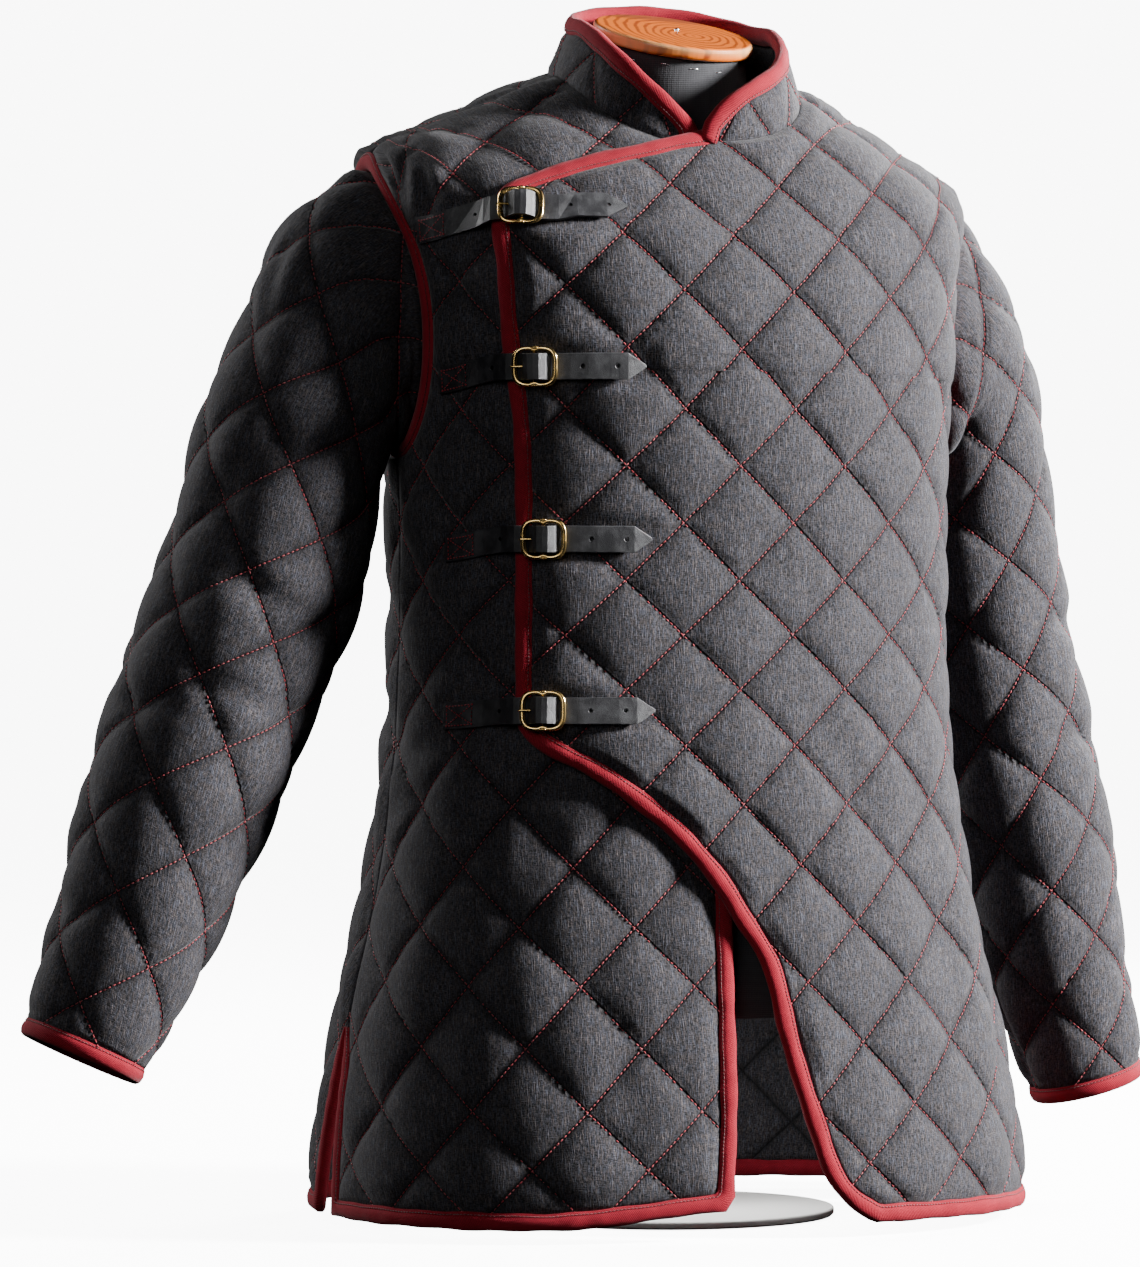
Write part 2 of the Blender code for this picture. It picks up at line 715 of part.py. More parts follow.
def strap_degrees(strap, length):
    """Degrees round the body for a length beside the buckle."""
    low = line_frame(strap, strap.buckle_angle - 1)[0]
    high = line_frame(strap, strap.buckle_angle + 1)[0]
    return 2.0 * length / (high - low).length


def strap_frame(strap, angle, lift):
    """A point over a strap's line and the strap's cross direction, level with its buckle."""
    point, _, up, normal = line_frame(strap, angle)
    centre, _, buckle_up, buckle_normal = line_frame(strap, strap.buckle_angle)
    away = abs(angle - strap.buckle_angle) / strap_degrees(strap, 1.0)
    share = smooth((0.034 - away) / 0.016)
    place = point + normal * lift
    stray = (place - centre - buckle_normal * BUCKLE_LIFT).dot(buckle_up)
    return place - buckle_up * (stray * share), up.lerp(buckle_up, share).normalized()


def strap_lift(strap, angle):
    """Height of a strap's middle over the body: flat, under the rims and over the bar."""
    place = (angle - strap.buckle_angle) / strap_degrees(strap, 1.0)
    under = BUCKLE_LIFT - BUCKLE_WIRE - SEAM_GAP - STRAP_THICK / 2
    over = BUCKLE_LIFT + BUCKLE_WIRE + SEAM_GAP + STRAP_THICK / 2 + CHAPE_THICK + SEAM_GAP
    sewn = QUILT / 2 + SEAM_GAP + STRAP_THICK / 2 + 0.0006
    flat = OVERLAP_LIFT + QUILT / 2 + SEAM_GAP + STRAP_THICK / 2 + 0.0004
    if place < -0.0125:
        return sewn + (under - sewn) * smooth(1.0 - (-0.0150 - place) / 0.026)
    if place > 0.0125:
        return flat + (under - flat) * smooth(1.0 - (place - 0.050) / 0.020)
    return under + (over - under) * smooth((0.0120 - abs(place)) / 0.0100)


def make_strap(number, strap):
    turn = strap_degrees(strap, 1.0)
    angles = [strap.sewn_angle, strap.sewn_angle + 6.0, strap.sewn_angle + 12.0]
    angles += [strap.buckle_angle + place * turn for place in STRAP_PLACES]
    angles = [angle for angle in angles if angle < strap.tip_angle - 4.5]
    taper = [(strap.tip_angle - 3.4, 1.0), (strap.tip_angle, 0.10)]
    sections = []
    for angle, share in [(angle, 1.0) for angle in angles] + taper:
        lift = strap_lift(strap, angle)
        middle, up = strap_frame(strap, angle, lift)
        half = up * (STRAP_WIDTH / 2 * share)
        thick = strap_normal(strap, angle) * (STRAP_THICK / 2)
        low, high = middle - half, middle + half
        sections.append([low - thick, low + thick, high + thick, high - thick])
    obj = loft("strap_%d" % number, sections, LEATHER)
    cut_strap(obj, number, strap, turn)
    return obj


def strap_normal(strap, angle):
    """Outward direction of a strap, square to the line that it follows."""
    step = 0.12
    ahead = strap_frame(strap, angle + step, strap_lift(strap, angle + step))[0]
    behind = strap_frame(strap, angle - step, strap_lift(strap, angle - step))[0]
    up = strap_frame(strap, angle, 0.0)[1]
    return (ahead - behind).cross(up).normalized()


def body_outward(strap, angle):
    return body_normal(angle, level_at_height(angle, strap.z))


def cut_strap(obj, number, strap, turn):
    """Punched holes, one of them round the prong."""
    cutters = []
    for place in HOLE_PLACES:
        angle = strap.buckle_angle + place * turn
        centre = strap_frame(strap, angle, strap_lift(strap, angle))[0]
        cutters.append((centre, body_outward(strap, angle), HOLE_RADIUS))
    start, end = prong_line(strap)
    cutters.append(((start + end) / 2, (end - start).normalized(), PRONG_RADIUS + 0.0004))
    for index, (centre, direction, radius) in enumerate(cutters):
        name = "strap_%d_punch_%d" % (number, index + 1)
        is_prong = index == len(cutters) - 1
        reach = 0.0070 if is_prong else 0.0040
        side = direction.orthogonal().normalized()
        other = direction.cross(side)
        sections = []
        for along in (-reach, reach):
            ring = []
            for corner in range(8):
                angle = math.pi * corner / 4
                spoke = side * math.cos(angle) + other * math.sin(angle)
                ring.append(centre + direction * along + spoke * radius)
            sections.append(ring)
        cutter = loft(name, sections, None, collection=CUTTERS)
        cutter.hide_render = True
        cutter.display_type = "WIRE"
        hole = obj.modifiers.new("hole_%d" % (index + 1), "BOOLEAN")
        hole.operation = "DIFFERENCE"
        hole.object = cutter


def buckle_frame(strap):
    point, along, up, normal = line_frame(strap, strap.buckle_angle)
    return point + normal * BUCKLE_LIFT, along, up, normal


def prong_line(strap):
    """The prong's hinge end by the bar and its tip on the left rim."""
    centre, along, _, normal = buckle_frame(strap)
    start = centre - along * PRONG_HINGE + normal * PRONG_RISE
    over = BUCKLE_WIRE + PRONG_RADIUS + SEAM_GAP
    end = centre - along * (BUCKLE_LENGTH / 2 + PRONG_RISE) + normal * over
    return start, end


def make_buckle(number, strap):
    centre, along, up, normal = buckle_frame(strap)
    half_length = BUCKLE_LENGTH / 2 - BUCKLE_WIRE
    half_height = BUCKLE_HEIGHT / 2 - BUCKLE_WIRE
    count = 24
    sections = []
    for index in range(count):
        turn = 2 * math.pi * index / count
        u = half_length * math.copysign(abs(math.cos(turn)) ** BUCKLE_SQUARE, math.cos(turn))
        v = half_height * math.copysign(abs(math.sin(turn)) ** BUCKLE_SQUARE, math.sin(turn))
        place = centre + along * u + up * v
        outward = (along * math.cos(turn) + up * math.sin(turn)).normalized()
        ring = []
        for corner in range(6):
            angle = math.pi * corner / 3
            spoke = outward * math.cos(angle) + normal * math.sin(angle)
            ring.append(place + spoke * BUCKLE_WIRE)
        sections.append(ring)
    frame = loft("buckle_%d" % number, sections, BRASS, closed=True)
    bar = []
    for v in (-half_height, half_height):
        ring = []
        for corner in range(8):
            angle = math.pi * corner / 4
            offset = (along * math.cos(angle) + normal * math.sin(angle)) * (BUCKLE_WIRE * 0.9)
            ring.append(centre + up * v + offset)
        bar.append(ring)
    bar_object = loft("buckle_%d_bar" % number, bar, None, collection=CUTTERS)
    bar_object.hide_render = True
    bar_object.display_type = "WIRE"
    union = frame.modifiers.new("centre_bar", "BOOLEAN")
    union.operation = "UNION"
    union.object = bar_object

    start, end = prong_line(strap)
    direction = (end - start).normalized()
    rings = []
    for point, radius in ((start, PRONG_RADIUS), (end, PRONG_RADIUS * 0.75)):
        ring = []
        for corner in range(8):
            angle = math.pi * corner / 4
            side = up * math.cos(angle) + direction.cross(up) * math.sin(angle)
            ring.append(point + side * radius)
        rings.append(ring)
    loft("prong_%d" % number, rings, BRASS)


def make_chape(number, strap):
    """A leather keeper folded over the buckle's bar and sewn down under the strap."""
    turn = strap_degrees(strap, 1.0)
    half = STRAP_WIDTH / 2 - 0.0005
    inner, outer = BUCKLE_WIRE + SEAM_GAP * 2, BUCKLE_WIRE + SEAM_GAP * 2 + CHAPE_THICK
    centre, along, up, normal = buckle_frame(strap)
    low_lift = OVERLAP_LIFT + QUILT / 2 + CHAPE_REST
    loop = []
    for degrees in range(30, 271, 30):
        angle = math.radians(degrees)
        direction = along * math.cos(angle) + normal * math.sin(angle)
        loop.append((centre + direction * inner, centre + direction * outer, up))
    for place in CHAPE_TAIL:
        angle = strap.buckle_angle + place * turn
        base, local_up = strap_frame(strap, angle, low_lift)
        top = strap_frame(strap, angle, low_lift + CHAPE_THICK)[0]
        loop.append((top, base, local_up))
    sections = []
    for near, far, upward in loop:
        wide = upward * half
        sections.append([near - wide, near + wide, far + wide, far - wide])
    loft("chape_%d" % number, sections, LEATHER)


def clear_scene():
    for obj in list(bpy.data.objects):
        bpy.data.objects.remove(obj, do_unlink=True)
    for name in (COLLECTION, CUTTERS):
        collection = bpy.data.collections.new(name)
        bpy.context.scene.collection.children.link(collection)


def main():
    clear_scene()
    make_fronts_and_back()
    make_armhole_binding(-1, "armhole_binding_right")
    make_armhole_binding(1, "armhole_binding_left")
    make_sleeve(-1, RIGHT_SLEEVE, "sleeve_right", "cuff_binding_right")
    make_sleeve(1, LEFT_SLEEVE, "sleeve_left", "cuff_binding_left")
    make_collar()
    make_form()
    for number, strap in enumerate(STRAPS, start=1):
        make_strap(number, strap)
        make_buckle(number, strap)
        make_chape(number, strap)


main()
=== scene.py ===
"""Looks of a quilted gambeson buckled on a limbless dress form.

Metres, +Z up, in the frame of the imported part: the front faces -Y and the wearer's left is
+X. The body of the garment is one surface, read by an angle round the body (0 at centre
front, 90 at the wearer's left) and a level (the height of that ring at the side seam).
"""

import math
from collections import namedtuple

import bmesh
import bpy
import numpy as np
from mathutils import Euler, Matrix, Vector


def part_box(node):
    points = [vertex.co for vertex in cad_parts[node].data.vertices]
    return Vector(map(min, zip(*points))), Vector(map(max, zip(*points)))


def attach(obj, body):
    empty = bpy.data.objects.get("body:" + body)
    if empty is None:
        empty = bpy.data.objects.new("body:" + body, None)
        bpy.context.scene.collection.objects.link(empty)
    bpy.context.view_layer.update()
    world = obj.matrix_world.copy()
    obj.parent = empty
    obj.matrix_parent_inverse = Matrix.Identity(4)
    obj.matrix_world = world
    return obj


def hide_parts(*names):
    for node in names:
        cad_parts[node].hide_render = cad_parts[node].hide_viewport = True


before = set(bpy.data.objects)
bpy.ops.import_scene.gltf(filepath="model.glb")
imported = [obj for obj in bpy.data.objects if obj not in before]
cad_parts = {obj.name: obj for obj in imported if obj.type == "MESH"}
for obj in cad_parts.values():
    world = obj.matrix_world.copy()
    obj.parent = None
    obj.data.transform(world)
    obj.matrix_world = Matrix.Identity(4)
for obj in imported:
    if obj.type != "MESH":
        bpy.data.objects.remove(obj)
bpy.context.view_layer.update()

# Cloth, bindings and clearances
QUILT = 0.006
BIND_WIDTH = 0.012
BIND_HALF_HEIGHT = 0.0040
SEAM_GAP = 0.0003
SLEEVE_INSET = BIND_WIDTH + QUILT / 2 + 0.0009
CELL = 0.0044

# Levels and cut of the body
HEM = 0.0203
SLIT_TOP = 0.145
UNDERARM = 0.535
SHOULDER_TIP = 0.745
NECKLINE = 0.806
SLIT_OPEN = 0.015
ARMHOLE_FRONT = 23.0
ARMHOLE_BACK = 28.0
ARMHOLE_MIDDLE = (SHOULDER_TIP + UNDERARM) / 2
ARMHOLE_HALF = (SHOULDER_TIP - UNDERARM) / 2
OVERLAP_LIFT = 0.0085
SHOULDER_TILT = 0.04
SQUARENESS = 0.03

# Quilting: one lattice of diamonds round the body, another on each sleeve
DIAMOND_WIDTH = 0.079
LATTICE_START = -0.0025
ROW_HEIGHTS = (
    -0.030, 0.010, 0.049, 0.088, 0.131, 0.173, 0.213, 0.254, 0.296, 0.337, 0.376, 0.414,
    0.452, 0.4925, 0.532, 0.571, 0.611, 0.650, 0.686, 0.722, 0.757,
)
FIRST_ROW = -2
YOKE_ROW = 0.0385
YOKE_START = 0.600
YOKE_FULL = 0.690
# Stitch lattice of a sleeve: a crossing's place round and up, its drift, and its pitches
Lattice = namedtuple("Lattice", "along up drift pitch row")
RIGHT_LATTICE = Lattice(0.0410, 0.0225, 0.105, 0.0725, 0.0398)
LEFT_LATTICE = Lattice(0.0663, 0.0218, 0.0, 0.0690, 0.0407)

BodyRing = namedtuple("BodyRing", "level side front back middle front_rise back_rise")
BODY_RINGS = (
    BodyRing(0.000, 0.254, 0.200, 0.192, 0.000, 0.000, 0.000),
    BodyRing(0.070, 0.247, 0.190, 0.182, 0.000, 0.000, 0.000),
    BodyRing(0.150, 0.233, 0.177, 0.168, 0.000, 0.000, 0.000),
    BodyRing(0.230, 0.215, 0.163, 0.153, 0.000, 0.000, 0.000),
    BodyRing(0.310, 0.203, 0.151, 0.140, 0.000, 0.000, 0.000),
    BodyRing(0.390, 0.198, 0.145, 0.132, 0.000, 0.000, 0.000),
    BodyRing(0.470, 0.196, 0.146, 0.131, 0.002, 0.000, 0.000),
    BodyRing(0.550, 0.198, 0.152, 0.135, 0.004, 0.000, 0.000),
    BodyRing(0.620, 0.204, 0.157, 0.134, 0.008, -0.006, 0.000),
    BodyRing(0.680, 0.210, 0.158, 0.127, 0.014, -0.022, 0.003),
    BodyRing(0.725, 0.217, 0.156, 0.115, 0.020, -0.042, 0.008),
    BodyRing(0.745, 0.213, 0.150, 0.107, 0.020, -0.052, 0.010),
    BodyRing(0.760, 0.188, 0.139, 0.099, 0.014, -0.056, 0.012),
    BodyRing(0.783, 0.137, 0.114, 0.086, 0.000, -0.056, 0.015),
    BodyRing(0.806, 0.087, 0.086, 0.074, -0.012, -0.0525, 0.016),
)

# Left front's free edge, from the hem round the cutaway curve, up and along the top
EdgePoint = namedtuple("EdgePoint", "level angle")
LEFT_EDGE = (
    EdgePoint(0.0203, 17.0),
    EdgePoint(0.0300, 13.8),
    EdgePoint(0.0460, 11.2),
    EdgePoint(0.0770, 9.2),
    EdgePoint(0.1110, 7.2),
    EdgePoint(0.1450, 5.6),
    EdgePoint(0.1640, 5.0),
    EdgePoint(0.1870, 3.9),
    EdgePoint(0.2030, 2.2),
    EdgePoint(0.2210, -0.4),
    EdgePoint(0.2420, -3.2),
    EdgePoint(0.2630, -7.0),
    EdgePoint(0.2860, -12.3),
    EdgePoint(0.3070, -19.0),
    EdgePoint(0.3180, -23.0),
    EdgePoint(0.3290, -28.0),
    EdgePoint(0.3400, -34.5),
    EdgePoint(0.3500, -39.0),
    EdgePoint(0.3600, -40.5),
    EdgePoint(0.5500, -41.2),
    EdgePoint(0.6250, -42.5),
    EdgePoint(0.7000, -41.5),
    EdgePoint(0.7420, -40.0),
    EdgePoint(0.7530, -38.6),
    EdgePoint(0.7650, -36.2),
    EdgePoint(0.7770, -32.0),
    EdgePoint(0.7870, -25.6),
    EdgePoint(0.7990, -14.0),
    EdgePoint(0.8060, -1.0),
)
RIGHT_EDGE = (
    EdgePoint(0.0203, -6.8),
    EdgePoint(0.1100, -5.8),
    EdgePoint(0.6800, -5.4),
    EdgePoint(0.7600, -7.0),
    EdgePoint(0.8060, -10.0),
)

SleeveRing = namedtuple("SleeveRing", "out y level lean across deep")
RIGHT_SLEEVE = (
    SleeveRing(0.206, 0.012, 0.642, 89, 0.089, 0.044),
    SleeveRing(0.217, 0.011, 0.640, 85, 0.088, 0.045),
    SleeveRing(0.238, 0.010, 0.624, 66, 0.080, 0.058),
    SleeveRing(0.257, 0.008, 0.593, 44, 0.066, 0.063),
    SleeveRing(0.276, 0.006, 0.548, 28, 0.064, 0.065),
    SleeveRing(0.2935, 0.004, 0.473, 19, 0.066, 0.066),
    SleeveRing(0.319, 0.002, 0.4065, 20, 0.066, 0.065),
    SleeveRing(0.3457, 0.000, 0.339, 20, 0.0635, 0.063),
    SleeveRing(0.3666, -0.004, 0.288, 21, 0.0605, 0.060),
    SleeveRing(0.3865, -0.008, 0.236, 22, 0.054, 0.055),
    SleeveRing(0.411, -0.012, 0.177, 24, 0.047, 0.048),
    SleeveRing(0.4305, -0.014, 0.133, 25, 0.041, 0.042),
)
LEFT_SLEEVE = (
    SleeveRing(0.206, 0.012, 0.642, 89, 0.089, 0.044),
    SleeveRing(0.216, 0.014, 0.636, 85, 0.083, 0.046),
    SleeveRing(0.230, 0.020, 0.613, 75, 0.071, 0.056),
    SleeveRing(0.243, 0.034, 0.590, 55, 0.058, 0.060),
    SleeveRing(0.254, 0.050, 0.548, 36, 0.056, 0.063),
    SleeveRing(0.262, 0.066, 0.487, 20, 0.060, 0.067),
    SleeveRing(0.277, 0.075, 0.4027, 12, 0.061, 0.067),
    SleeveRing(0.2945, 0.072, 0.320, 13, 0.060, 0.064),
    SleeveRing(0.3115, 0.065, 0.254, 13, 0.056, 0.059),
    SleeveRing(0.3215, 0.057, 0.190, 14, 0.050, 0.053),
    SleeveRing(0.337, 0.053, 0.130, 15, 0.043, 0.046),
    SleeveRing(0.3475, 0.050, 0.089, 16, 0.0385, 0.040),
)


def smooth(value):
    """Ease from 0 to 1 with level ends."""
    value = np.clip(value, 0.0, 1.0)
    return value * value * (3.0 - 2.0 * value)


def read_rows(table, key):
    """Read a table of rows smoothly at an array of keys in its first column."""
    rows = np.array(table, float)
    places, values = rows[:, 0], rows[:, 1:]
    key = np.asarray(key, float)
    low = np.clip(np.searchsorted(places, key) - 1, 0, len(places) - 2)
    high = low + 1
    before, after = np.maximum(low - 1, 0), np.minimum(low + 2, len(places) - 1)
    span = (places[high] - places[low])[..., None]
    part = (key - places[low])[..., None] / span
    slope_low = (values[high] - values[before]) / (places[high] - places[before])[..., None]
    slope_high = (values[after] - values[low]) / (places[after] - places[low])[..., None]
    square, cube = part ** 2, part ** 3
    return (
        (2 * cube - 3 * square + 1) * values[low]
        + (cube - 2 * square + part) * span * slope_low
        + (3 * square - 2 * cube) * values[high]
        + (cube - square) * span * slope_high
    )


def unit(vectors):
    length = np.linalg.norm(vectors, axis=-1, keepdims=True)
    return vectors / np.maximum(length, 1e-9)


def body_point(angle, level):
    """Points of the garment's middle surface."""
    angle, level = np.broadcast_arrays(np.asarray(angle, float), np.asarray(level, float))
    columns = np.moveaxis(read_rows(BODY_RINGS, level), -1, 0)
    side, front, back, middle, front_rise, back_rise = columns
    turn = np.radians(angle)
    across = (np.sin(turn) + SQUARENESS * np.sin(3 * turn)) / (1 - SQUARENESS)
    along = (np.cos(turn) - SQUARENESS * np.cos(3 * turn)) / (1 - SQUARENESS)
    facing = np.cos(turn)
    depth = np.where(facing > 0, front, back)
    rise = np.where(facing > 0, front_rise, back_rise)
    x = side * across
    tilt = SHOULDER_TILT * x * np.abs(x) / 0.22 * smooth((level - 0.4) / 0.3)
    z = level + rise * np.abs(facing) ** 1.4 - tilt
    return np.stack([x, middle - depth * along, z], axis=-1)


def body_normal(angle, level):
    """Outward directions of the garment's middle surface."""
    turn, step = 0.5, 0.0008
    around = body_point(angle + turn, level) - body_point(angle - turn, level)
    top = np.minimum(level + step, NECKLINE)
    upward = body_point(angle, top) - body_point(angle, level - step)
    return unit(np.cross(around, upward))


def arc_tables():
    """Lengths round each ring from centre front, and up the yoke at each distance across."""
    angles = np.arange(-180.0, 181.0, 2.0)
    levels = np.linspace(0.0, NECKLINE, 125)
    points = body_point(angles[None, :], levels[:, None])
    steps = np.linalg.norm(np.diff(points, axis=1), axis=-1)
    round_body = np.concatenate([np.zeros((len(levels), 1)), np.cumsum(steps, axis=1)], axis=1)
    round_body -= round_body[:, len(angles) // 2][:, None]
    return angles, levels, round_body


ARC_ANGLES, ARC_LEVELS, ARC_ROUND = arc_tables()


def read_grid(grid, first, second, a, b):
    """Read a regular grid at places a on its first axis and b on its second."""
    i = np.clip((a - first[0]) / (first[1] - first[0]), 0, len(first) - 1.001)
    j = np.clip((b - second[0]) / (second[1] - second[0]), 0, len(second) - 1.001)
    i0, j0 = i.astype(int), j.astype(int)
    fi, fj = i - i0, j - j0
    low = grid[i0, j0] * (1 - fj) + grid[i0, j0 + 1] * fj
    high = grid[i0 + 1, j0] * (1 - fj) + grid[i0 + 1, j0 + 1] * fj
    return low * (1 - fi) + high * fi


def yoke_table(facing):
    """Length up the cloth from the yoke's start at each distance from the middle."""
    across = np.linspace(0.0, 0.224, 57)
    levels = np.linspace(YOKE_START, NECKLINE, 70)
    half = np.linspace(0.0, 90.0, 91)
    places = []
    for level in levels:
        ring = body_point(half if facing > 0 else 180.0 - half, np.full(91, level))
        angle = np.interp(across, ring[:, 0], half)
        places.append(body_point(angle if facing > 0 else 180.0 - angle, np.full(57, level)))
    places = np.array(places)
    steps = np.linalg.norm(np.diff(places[..., 1:], axis=0), axis=-1)
    length = np.concatenate([np.zeros((1, len(across))), np.cumsum(steps, axis=0)], axis=0)
    return levels, across, length + YOKE_START


YOKE_TABLES = {1: yoke_table(1), -1: yoke_table(-1)}


def cloth_place(angle, level):
    """Where a point lies in its flat panel: along from centre front or back, up from the floor."""
    points = body_point(angle, level)
    angle = (np.asarray(angle, float) + 180.0) % 360.0 - 180.0
    on_ring = read_grid(ARC_ROUND, ARC_LEVELS, ARC_ANGLES, level, angle)
    front = np.abs(angle) <= 90.0
    half = np.linspace(0.0, 90.0, 91)
    flat_front = np.interp(np.abs(points[..., 0]), body_point(half, 0.68)[:, 0], half)
    flat_back = np.interp(np.abs(points[..., 0]), body_point(180.0 - half, 0.68)[:, 0], half)
    flat_angle = np.where(front, flat_front, 180.0 - flat_back) * np.sign(angle)
    on_chest = read_grid(ARC_ROUND, ARC_LEVELS, ARC_ANGLES, np.full_like(level, 0.68), flat_angle)
    share = smooth((level - YOKE_START) / (YOKE_FULL - YOKE_START))
    behind = np.full_like(angle, 180.0)
    half_ring = read_grid(ARC_ROUND, ARC_LEVELS, ARC_ANGLES, level, behind)
    half_chest = read_grid(ARC_ROUND, ARC_LEVELS, ARC_ANGLES, np.full_like(level, 0.68), behind)
    along = on_ring * (1 - share) + on_chest * share
    half = half_ring * (1 - share) + half_chest * share
    along = np.where(front, along, along - np.sign(angle) * half)
    up = points[..., 2].copy()
    for facing, wanted in ((1, front), (-1, ~front)):
        levels, across, length = YOKE_TABLES[facing]
        over = read_grid(length, levels, across, level, np.abs(points[..., 0]))
        up = np.where(wanted & (level > YOKE_START), over, up)
    return along, up


def row_count(up):
    """Rows of quilting counted up the cloth."""
    rows = np.arange(len(ROW_HEIGHTS)) + FIRST_ROW
    reach = yoke_heights()
    count = np.interp(up, reach, rows)
    return count + np.maximum(up - reach[-1], 0.0) / YOKE_ROW


def yoke_heights():
    """The rows' heights measured up the cloth, a little off centre front."""
    level = np.linspace(0.0, NECKLINE, 300)
    angle = np.full_like(level, 20.0)
    heights = body_point(angle, level)[:, 2]
    levels, across, length = YOKE_TABLES[1]
    over = read_grid(length, levels, across, level, body_point(angle, level)[:, 0])
    lengths = np.where(level > YOKE_START, over, heights)
    low = np.array(ROW_HEIGHTS)
    return np.where(low < 0.0, low, np.interp(low, heights, lengths))


def body_lattice(angle, level):
    """Diagonal coordinates of the quilting: stitch lines run where either is whole."""
    along, up = cloth_place(angle, level)
    across = (along - LATTICE_START) / DIAMOND_WIDTH
    rows = row_count(up)
    return across + rows / 2, across - rows / 2


def turn_for(length, level):
    """Degrees round the side of the body that a length takes up."""
    front = read_rows(BODY_RINGS, level)[..., 1]
    speed = front * (1 + 3 * SQUARENESS) / (1 - SQUARENESS)
    return np.degrees(length / speed)


def slit_binding(level):
    """Width of the slit's binding, tapering to nothing at the slit's top."""
    return 0.0015 + (BIND_WIDTH - 0.0015) * smooth((SLIT_TOP - level) / 0.035)


def panel_side(level, width):
    """Degrees from the side line to a panel's edge: slit, seam, armhole or shoulder seam."""
    opening = SLIT_OPEN * (SLIT_TOP - level) / (SLIT_TOP - HEM)
    slit = turn_for(SEAM_GAP * 1.5 + opening + slit_binding(level), level)
    seam = turn_for(SEAM_GAP / 2, level)
    across = (level - ARMHOLE_MIDDLE) / ARMHOLE_HALF
    armhole = width * np.sqrt(np.maximum(1.0 - across * across, 0.0))
    return np.where(level >= SLIT_TOP, np.maximum(seam, armhole), slit)


def front_lift(angle):
    """How far the overlapping left front stands out over the right front."""
    return OVERLAP_LIFT * (1.0 - smooth((angle - 4.0) / 74.0))


def no_lift(angle):
    return np.zeros_like(angle)


def right_hem(angle, level):
    """The right front's hem climbs a little towards its corner."""
    climb = 0.013 * smooth((angle + 34.0) / 34.0)
    return level + climb * (1.0 - smooth((level - HEM) / 0.06))


def read_edge(table, level):
    return read_rows(table, level)[..., 0]


def even_levels(edge, start=HEM, end=NECKLINE, armhole=True):
    """Levels about a cell apart, closer where an edge runs slantwise or round the armhole."""
    fine = np.linspace(start, end, 2400)
    points = body_point(edge(fine), fine)
    steps = np.linalg.norm(np.diff(points, axis=0), axis=-1)
    length = np.concatenate([[0.0], np.cumsum(steps)])
    count = max(int(length[-1] / CELL), 2)
    levels = list(np.interp(np.linspace(0.0, length[-1], count), length, fine))
    if armhole:
        turns = np.radians(np.linspace(-90.0, 90.0, 41))
        levels += list(ARMHOLE_MIDDLE + ARMHOLE_HALF * np.sin(turns))
    levels += [SLIT_TOP] if start < SLIT_TOP < end else []
    kept = []
    for level in sorted(levels):
        if not kept or level - kept[-1] > 0.0004:
            kept.append(level)
    return np.array(kept)


def panel_places(levels, low_edge, high_edge, columns):
    low, high = low_edge(levels), high_edge(levels)
    share = np.linspace(0.0, 1.0, columns)[None, :]
    angle = low[:, None] + (high - low)[:, None] * share
    return angle, np.repeat(levels[:, None], columns, axis=1)


def edge_distance(points, ring=False):
    """Each grid point's distance from the nearest edge of its panel."""
    down = np.linalg.norm(np.diff(points, axis=0), axis=-1)
    down = np.concatenate([np.zeros((1, points.shape[1])), np.cumsum(down, axis=0)], axis=0)
    nearest = np.minimum(down, down[-1] - down)
    if not ring:
        run = np.linalg.norm(np.diff(points, axis=1), axis=-1)
        run = np.concatenate([np.zeros((points.shape[0], 1)), np.cumsum(run, axis=1)], axis=1)
        nearest = np.minimum(nearest, np.minimum(run, run[:, -1:] - run))
    return nearest


CELL_SWELL = np.random.default_rng(11).uniform(0.72, 1.12, (61, 67))


def puff(first, second, edge):
    """Swell of the padding between stitch lines, uneven from diamond to diamond."""
    swell = np.abs(np.sin(math.pi * first) * np.sin(math.pi * second)) ** 0.36
    cell = CELL_SWELL[np.floor(first).astype(int) % 61, np.floor(second).astype(int) % 67]
    return swell * cell * smooth(edge / 0.012)


Fold = namedtuple("Fold", "along up turn length width depth")


def folds(table, along, up):
    """Soft troughs, laid as listed; turn is a fold's slant from upright, in degrees."""
    total = np.zeros_like(along)
    for fold in table:
        slant = math.radians(fold.turn)
        x, y = along - fold.along, up - fold.up
        run = x * math.sin(slant) + y * math.cos(slant)
        side = x * math.cos(slant) - y * math.sin(slant)
        reach = np.exp(-((run / fold.length) ** 2) * 2.0)
        shape = np.exp(-((side / fold.width) ** 2)) - 0.45 * np.exp(-((side / fold.width / 1.9) ** 2))
        total -= fold.depth * reach * shape / 0.55
    return total


def build_mesh(name, points, faces, corners=None, **layers):
    """A mesh object; layers hold a pair of numbers for each point that corners lists."""
    mesh = bpy.data.meshes.new(name)
    mesh.from_pydata([tuple(point) for point in points], [], [list(face) for face in faces])
    if corners is None:
        corners = [corner for face in faces for corner in face]
    for layer, values in layers.items():
        flat = np.asarray(values, np.float32).reshape(-1, 2)[np.asarray(corners)]
        mesh.uv_layers.new(name=layer).uv.foreach_set("vector", flat.ravel())
    mesh.update()
    mesh.shade_smooth()
    obj = bpy.data.objects.new(name, mesh)
    bpy.context.scene.collection.objects.link(obj)
    return obj


